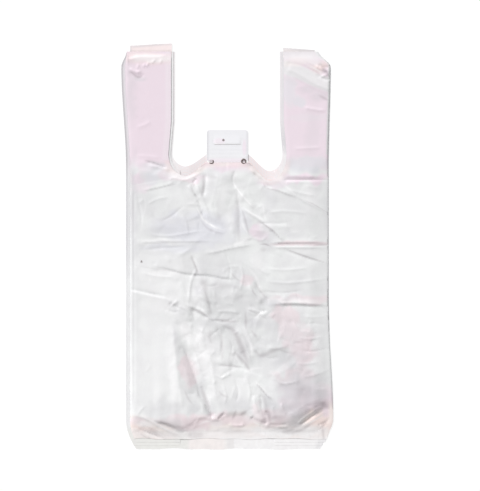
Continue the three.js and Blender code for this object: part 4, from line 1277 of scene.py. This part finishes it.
def under_tints(x, y):
    """Tints of the layers that show only as strips along the sides and the mouth."""
    is_left, is_right = x < 0, x > 0
    to_side = from_fold(BACK, x, y)
    in_strip = to_side < SIDE_STRIP
    in_handle = smooth(Y_MOUTH - 30, Y_MOUTH + 20, y)
    in_left_strip = in_handle * is_left * in_strip
    in_mouth = smooth(90, 60, np.abs(x)) * smooth(60, 90, y)
    lines = 0.5 + 0.5 * np.sin(1.7 * mouth_distance(x, y))
    upper = smooth(*Y_UPPER_BODY, y)
    low = smooth(*Y_UNDER_BARE, y)
    pink = low * between(*X_UNDER_PINK, x)

    # Painted shade: grey along the side folds, down the left strip and beside the front film's edge
    # in the right handle; the shade tint outlines the left handle's fold and darkens the mouth by the
    # tab's feet
    edge = smooth(3.2, 1.8, to_side) * (0.35 + 0.65 * upper) * (1 - in_handle)
    edge = edge + in_handle * smooth(3.5, 2.2, to_side)
    strip = (0.13 + 0.3 * upper) * (1 - in_handle * np.where(in_strip, 0.6, 1))
    from_front = HANDLE_INNER + FRONT_HANDLE_INSET - x
    by_front = smooth(FRONT_HANDLE_INSET + 1, FRONT_HANDLE_INSET - 1.5, from_front)
    by_front = by_front * smooth(Y_MOUTH + 15, Y_MOUTH + 40, y) * (0.35 + 0.35 * smooth(200, 120, y))
    by_front = by_front * is_right * (to_side > SIDE_STRIP)
    mottle = 0.5 + 0.5 * lattice_noise(x, y, 4, 61)
    grey_tone_and_shade = np.maximum(edge, strip) * is_left * (1 - low) + 0.25 * is_right * (to_side < 9)
    grey_tone_and_shade = grey_tone_and_shade + by_front + 0.2 * low * mottle
    grey_tone_and_shade = np.maximum(grey_tone_and_shade, 0.1 * (1 - lines) * in_mouth + 0.45 * in_left_strip)
    blush = 0.1 * is_right + 0.4 * in_mouth + 0.75 * in_left_strip * smooth(2, 4.5, to_side)
    shade = 0.4 * in_left_strip * smooth(2.6, 1.4, to_side)
    shade = shade + 0.1 * in_mouth * smooth(66, 50, np.abs(x))
    # Milk here is partly painted light: between the mouth's stripes, on the left side and on the
    # skirt's right part
    milk_and_light = 0.4 * in_mouth * (1 - lines) + 0.1 * is_left * (1 - in_handle) + 0.6 * low * (x > 10)
    return {
        "blush": blush, "grey_tone_and_shade": grey_tone_and_shade, "salmon": 0.75 * in_mouth * lines, "shade": shade,
        "skirt": 0.15 * low + 0.5 * pink, "milk_and_light": milk_and_light,
        "bare": low * np.where(x < -56, 0.65, 0.25) * (1 - pink),
    }


def make_back_film():
    return film_piece("back_film", panel_outline(BACK), back_height, under_tints, step=BACK_STEP)


def gusset_outline(side, layer):
    """A gusset layer: from the bag's side fold in to its own fold, and up the handle."""
    y_low = Y_BOTTOM + layer * SKIRT_STEP
    rising = np.linspace(y_low, Y_STRAP_ENDS, 70)
    outer = np.column_stack([edge_at(side, layer, rising) - 0.2, rising])
    path = mouth_side(RIGHT, 1.0 + layer, 2.0 * layer)
    inner_up = path[path[:, 0] > GUSSET_INNER]
    inner = np.vstack([[GUSSET_INNER, y_low], [GUSSET_INNER, inner_up[0, 1]], inner_up])
    return np.vstack([outer, inner[::-1]]) * (side, 1)


GUSSET_NAMES = {
    (LEFT, GUSSET_BACK): "gusset_left_lower", (LEFT, GUSSET_FRONT): "gusset_left_upper",
    (RIGHT, GUSSET_BACK): "gusset_right_lower", (RIGHT, GUSSET_FRONT): "gusset_right_upper",
}
# How far in from its side fold a gusset's mesh has lines of points, which keep its tints sharp
GUSSET_LINES = (1.7, 3.4, 5.1, 7.2, 9.4)


def make_gusset(side, layer):
    def height(x, y):
        return layer_lift(layer, y) + FILM_WALL + 0.03 * np.sin(y / 31 + layer)

    rising = np.linspace(Y_BOTTOM + layer * SKIRT_STEP + 5, Y_STRAP_ENDS - 5, 60)
    edge = edge_at(side, layer, rising)
    lines = [np.column_stack([side * (edge - inset), rising]) for inset in GUSSET_LINES]
    return film_piece(GUSSET_NAMES[side, layer], gusset_outline(side, layer), height, under_tints,
                      crests=lines, step=GUSSET_STEP)


# Creases at least this high or deep have mesh points along their crests
CREST_HEIGHT = math.sqrt(0.6)


def make_front_film():
    crests = [fold["path"] for fold in ALL_CREASES if abs(fold["height"]) > CREST_HEIGHT]
    return film_piece("front_film", FRONT_OUTLINE, front_height, front_tints, crests=crests)


# The header tab's details
SLIT_Y = Y_TAB_TOP - SLIT_BELOW_TOP
SLIT_HALF = SLIT_LENGTH / 2
SLIT_GAP = 0.9
SLIT_STEP = 0.45
TAB_LIFT = 1.1
TAB_WALL = 0.9
TAB_FOOT_X = 25.163
TAB_FOOT_RISE = 0.4465
TAB_FOOT_LAP = 1.5
TAB_SIDE_RISE = 3.4
TAB_CORNER_PULL = 2
PIN_CLOSING = 0.3
TAB_BLUSH = [((PIN_OFFSET - 6, SLIT_Y + 4), (9, 5), 0.55), ((25, 146), (3, 12), 0.7)]


def tab_outline():
    corner = bezier((TAB_HALF, Y_TAB_TOP - TAB_CORNER), (TAB_HALF, Y_TAB_TOP - TAB_CORNER_PULL),
                    (TAB_HALF - TAB_CORNER_PULL, Y_TAB_TOP), (TAB_HALF - TAB_CORNER, Y_TAB_TOP), 5)
    right = np.vstack([
        [TAB_FOOT_X - TAB_FOOT_LAP, Y_TEAR + TAB_FOOT_RISE],
        [TAB_FOOT_X, Y_TEAR + TAB_FOOT_RISE],
        [TAB_HALF, Y_TEAR + TAB_SIDE_RISE],
        [TAB_HALF, Y_TAB_TOP - TAB_CORNER],
        corner,
    ])
    return np.vstack([right, (right * (-1, 1))[::-1]])


def tab_tints(x, y):
    blush = sum(share * patch(x, y, centre, reach) for centre, reach, share in TAB_BLUSH)
    blush = blush + 0.6 * smooth(Y_TEAR + 9, Y_TEAR + 3, y)
    # Darker towards the tab's sides
    grey_tone_and_shade = 0.45 * smooth(4.5, 1.0, TAB_HALF - np.abs(x)) * np.where(x < 0, 1, 0.8)
    # The dark dot at the pin hole, the dark line along the slit and the dark rings by the notches are
    # painted shadow of the holes
    pin = np.hypot(x - PIN_OFFSET, y - SLIT_Y - PIN_ABOVE_SLIT)
    line = smooth(1.0, 0.4, np.abs(y - SLIT_Y)) * smooth(SLIT_HALF + 1, SLIT_HALF - 2, np.abs(x))
    notch = np.hypot(np.abs(x) - TAB_HALF + NOTCH_INSET, y - Y_TEAR)
    dark_mark_and_shadow = smooth(PIN_RADIUS + 0.9, PIN_RADIUS - 0.2, pin)
    dark_mark_and_shadow = dark_mark_and_shadow + 0.35 * line + 0.35 * smooth(5.0, 3.2, notch)
    return {
        "cool": 0.4 + 0.3 * smooth(Y_TEAR, Y_TEAR + 20, y), "milk_and_light": 0.28 * (1 - blush),
        "grey_tone_and_shade": grey_tone_and_shade, "blush": np.clip(blush, 0, 1), "dark_mark_and_shadow": np.clip(dark_mark_and_shadow, 0, 1),
    }


def make_tab():
    """The welded header, a little proud of the panel, with its slit and pin hole."""
    slit = np.array([[-SLIT_HALF, SLIT_Y], [SLIT_HALF, SLIT_Y],
                     [SLIT_HALF, SLIT_Y + SLIT_GAP], [-SLIT_HALF, SLIT_Y + SLIT_GAP]])
    pin = disc(PIN_OFFSET, SLIT_Y + PIN_ABOVE_SLIT, PIN_RADIUS * PIN_CLOSING, 12)

    def height(x, y):
        above_slit = between((SLIT_Y - 0.6, SLIT_Y + 0.4), (SLIT_Y + 16, SLIT_Y), y)
        above_slit = above_slit * smooth(SLIT_HALF + 1, SLIT_HALF - 3, np.abs(x))
        ripple = 0.025 * np.sin(y * 1.1) * smooth(SLIT_Y, SLIT_Y - 3, y)
        return TAB_LIFT + SLIT_STEP * above_slit + ripple

    return film_piece("header_tab", tab_outline(), height, tab_tints, holes=[slit, pin],
                      step=TAB_STEP, wall=TAB_WALL)


# The edge of each notch, coloured dark as painted shadow of the notch: its name, radius, sweep in
# degrees and number of steps
NOTCH_EDGES = {
    LEFT: ("notch_edge_left", 0.9, -150, 40, 22),
    RIGHT: ("notch_edge_right", 1.25, -40, 300, 30),
}
BEAD_RISE = 1.5
BEAD_INSET = 0.4
BEAD_LEVEL = 1.25
BEAD_FLATNESS = 0.63
BEAD_SIDES = 8
# How dark the beads are coloured, as painted shadow of the notches
BEAD_SHADOW_DARKNESS = 0.9


def make_notch_edge(side):
    """The film's edge round the notch beside the tab's foot, coloured dark as painted shadow of the
    notch.
    """
    name, thickness, start, end, count = NOTCH_EDGES[side]
    centre = np.array([side * (TAB_HALF - NOTCH_INSET), Y_TEAR + BEAD_RISE])
    points, faces = [], []
    for order, angle in enumerate(np.radians(np.linspace(start, end, count))):
        radius = thickness * (0.5 + 0.5 * math.sin(math.pi * order / (count - 1))**0.5)
        out = np.array([math.cos(angle), math.sin(angle)])
        middle = centre + out * (NOTCH_RADIUS - BEAD_INSET)
        for turn in 2 * math.pi * np.arange(BEAD_SIDES) / BEAD_SIDES:
            flat = middle + out * radius * math.cos(turn)
            points.append((*flat, BEAD_LEVEL + BEAD_FLATNESS * radius * math.sin(turn)))
    for first in range(0, (count - 1) * BEAD_SIDES, BEAD_SIDES):
        for ring in range(BEAD_SIDES):
            a, b = first + ring, first + (ring + 1) % BEAD_SIDES
            faces.append((a, a + BEAD_SIDES, b + BEAD_SIDES, b))
    last = (count - 1) * BEAD_SIDES
    faces += [tuple(range(BEAD_SIDES)), tuple(reversed(range(last, last + BEAD_SIDES)))]
    dark_mark_and_shadow = np.full(len(points), BEAD_SHADOW_DARKNESS)
    return in_scene(name, film_mesh(name, points, faces, {"dark_mark_and_shadow": dark_mark_and_shadow}))


def make_ties(film):
    """The ties that the row of tear-off cuts leaves between the header tab and the panel."""
    tree = bpy.data.node_groups.new("tear_off_ties", "GeometryNodeTree")
    first_x = -TIE_PITCH * (TIE_COUNT - 1) / 2
    values = [
        ("Count", "NodeSocketInt", TIE_COUNT),
        ("Pitch", "NodeSocketFloat", TIE_PITCH * MM),
        ("First", "NodeSocketVector", (first_x * MM, Y_TEAR * MM, TIE_LEVEL * MM)),
        ("Tie", "NodeSocketVector", (TIE_WIDTH * MM, TIE_LENGTH * MM, TIE_WALL * MM)),
        ("Film", "NodeSocketMaterial", film),
    ]
    given_values = {}
    for name, kind, value in values:
        socket = tree.interface.new_socket(name=name, in_out="INPUT", socket_type=kind)
        given_values[socket.identifier] = value
    tree.interface.new_socket(name="Geometry", in_out="OUTPUT", socket_type="NodeSocketGeometry")

    def node(kind, links=None, output="Geometry", mode=None):
        made = tree.nodes.new(kind)
        if mode:
            made.mode = mode
        for name, source in (links or {}).items():
            tree.links.new(source, made.inputs[name])
        return made.outputs[output]

    given = tree.nodes.new("NodeGroupInput").outputs
    step = node("ShaderNodeCombineXYZ", {"X": given["Pitch"]}, "Vector")
    row = node("GeometryNodeMeshLine", {
        "Count": given["Count"], "Start Location": given["First"], "Offset": step,
    }, "Mesh", "OFFSET")
    tie = node("GeometryNodeMeshCube", {"Size": given["Tie"]}, "Mesh")
    ties = node("GeometryNodeInstanceOnPoints", {"Points": row, "Instance": tie}, "Instances")
    real = node("GeometryNodeRealizeInstances", {"Geometry": ties})
    dressed = node("GeometryNodeSetMaterial", {"Geometry": real, "Material": given["Film"]})
    end = tree.nodes.new("NodeGroupOutput")
    tree.links.new(dressed, end.inputs["Geometry"])

    holder = in_scene("ties_holder", bpy.data.meshes.new("ties_holder"))
    modifier = holder.modifiers.new("ties", "NODES")
    modifier.node_group = tree
    for identifier, value in given_values.items():
        modifier[identifier] = value
    drawn = holder.evaluated_get(bpy.context.evaluated_depsgraph_get())
    mesh = bpy.data.meshes.new_from_object(drawn)
    bpy.data.objects.remove(holder)
    return in_scene("tear_off_ties", mesh)


# The welded strip on each handle: its name, and its blush and salmon tints
TOP_WELDS = {LEFT: ("handle_weld_left", 0.6, 0.6), RIGHT: ("handle_weld_right", 0.15, 0.35)}
TOP_WELD_LEVEL = 1.7
TOP_WELD_TUCK = 0.7
TOP_WELD_WALL = 1.2


def make_top_weld(side):
    """The welded strip that closes a handle's end."""
    name, blush, salmon = TOP_WELDS[side]
    outer = edge_at(side, BACK, Y_STRAP_ENDS) - TOP_WELD_INSET
    inner = HANDLE_INNER + TOP_WELD_INSET
    low = Y_STRAPS - TOP_WELD_LAP / 2
    top = Y_TOP - TOP_WELD_DROP[side]
    outline = np.array([[inner, low], [outer, low], [outer, top - TOP_WELD_SLOPE], [inner, top]])

    def height(x, y):
        under_film = TOP_WELD_TUCK * smooth(Y_STRAP_ENDS + 1, Y_STRAP_ENDS - 1, y)
        ripple = 0.12 * np.sin(y * 1.9) + 0.1 * lattice_noise(x, y, 5, 31)
        return TOP_WELD_LEVEL - under_film + ripple

    def tints(x, y):
        # Darker towards the strip's rim
        from_top = top - TOP_WELD_SLOPE * smooth(inner, outer, np.abs(x)) - y
        rim = np.minimum(np.abs(np.abs(x) - outer), from_top)
        same = np.ones(x.shape)
        return {"blush": blush * same, "salmon": salmon * same, "milk_and_light": 0.1 * same,
                "grey_tone_and_shade": 0.5 * smooth(4, 1, rim)}

    return film_piece(name, outline * (side, 1), height, tints, step=TOP_WELD_STEP,
                      wall=TOP_WELD_WALL)


# Floor, light and camera

PHOTO_ROWS = 491
MM_PER_ROW = 1.48
FRAME_HEIGHT = PHOTO_ROWS * MM_PER_ROW * MM
CAMERA_HEIGHT = 2.6
CAMERA_X = 18.5 * MM
CAMERA_Y = 1.1 * MM
CAMERA_REACH = 100
LONG_SENSOR = 36.0
LIGHT_ELEVATION = math.radians(31)
LIGHT_AZIMUTH = math.radians(128)
LIGHT_WIDTH = math.radians(16)
KEY_SHARE = 0.545
FILL_SHARE = 0.5
WHITE = (1, 1, 1, 1)
FLOOR_SIZE = 6.0
FLOOR_DROP = 0.0002
FLOOR_PAINT = (0.9, 0.9, 0.9, 1)
FLOOR_GLOW = 1.05
FLOOR_GLOW_SHARE = 0.8


def seen_by_camera(graph):
    return Value(graph, graph.node("ShaderNodeLightPath").outputs["Is Camera Ray"])


def make_floor():
    half = FLOOR_SIZE / 2
    mesh = bpy.data.meshes.new("floor")
    corners = [(x * half, y * half, -FLOOR_DROP) for x, y in ((-1, -1), (1, -1), (1, 1), (-1, 1))]
    mesh.from_pydata(corners, [], [(0, 1, 2, 3)])
    material = bpy.data.materials.new("white_floor")
    graph = Graph(material)
    matte = graph.node("ShaderNodeBsdfDiffuse", sockets={"Color": FLOOR_PAINT})
    bright = graph.node("ShaderNodeEmission", sockets={"Color": WHITE, "Strength": FLOOR_GLOW})
    mixed = graph.node("ShaderNodeMixShader", sockets={
        0: seen_by_camera(graph) * FLOOR_GLOW_SHARE,
        1: matte.outputs["BSDF"],
        2: bright.outputs["Emission"],
    })
    graph.node("ShaderNodeOutputMaterial", sockets={"Surface": mixed.outputs["Shader"]})
    mesh.materials.append(material)
    in_scene("floor", mesh)


def make_light():
    world = bpy.data.worlds.new("studio")
    bpy.context.scene.world = world
    graph = Graph(world)
    background = graph.node("ShaderNodeBackground", sockets={
        "Color": WHITE, "Strength": FILL_SHARE + seen_by_camera(graph) * (1 - FILL_SHARE),
    })
    graph.node("ShaderNodeOutputWorld", sockets={"Surface": background.outputs["Background"]})
    lamp = bpy.data.lights.new("key", "SUN")
    lamp.energy = KEY_SHARE * math.pi / math.sin(LIGHT_ELEVATION)
    lamp.angle = LIGHT_WIDTH
    towards = Vector((
        math.cos(LIGHT_AZIMUTH) * math.cos(LIGHT_ELEVATION),
        math.sin(LIGHT_AZIMUTH) * math.cos(LIGHT_ELEVATION),
        math.sin(LIGHT_ELEVATION),
    ))
    in_scene("key", lamp).rotation_euler = towards.to_track_quat("Z", "Y").to_euler()


def make_camera():
    camera = bpy.data.cameras.new("camera")
    camera.sensor_width = LONG_SENSOR
    camera.lens = LONG_SENSOR * CAMERA_HEIGHT / FRAME_HEIGHT
    camera.clip_end = CAMERA_REACH
    holder = in_scene("camera", camera)
    holder.location = (CAMERA_X, CAMERA_Y, CAMERA_HEIGHT)
    bpy.context.scene.camera = holder


make_camera()
make_light()
make_floor()
bpy.context.scene.view_settings.view_transform = "Standard"

front_material = film_material("front_film_finish", clear=0.08)
under_material = film_material("under_film_finish", clear=0.0)
finished(make_front_film(), front_material)
finished(make_back_film(), under_material)
for bag_side in (LEFT, RIGHT):
    for gusset_layer in (GUSSET_BACK, GUSSET_FRONT):
        finished(make_gusset(bag_side, gusset_layer), under_material)
    finished(make_top_weld(bag_side), under_material)
finished(make_tab(), under_material)
finished(make_ties(under_material), under_material)
for bag_side in (LEFT, RIGHT):
    finished(make_notch_edge(bag_side), under_material)
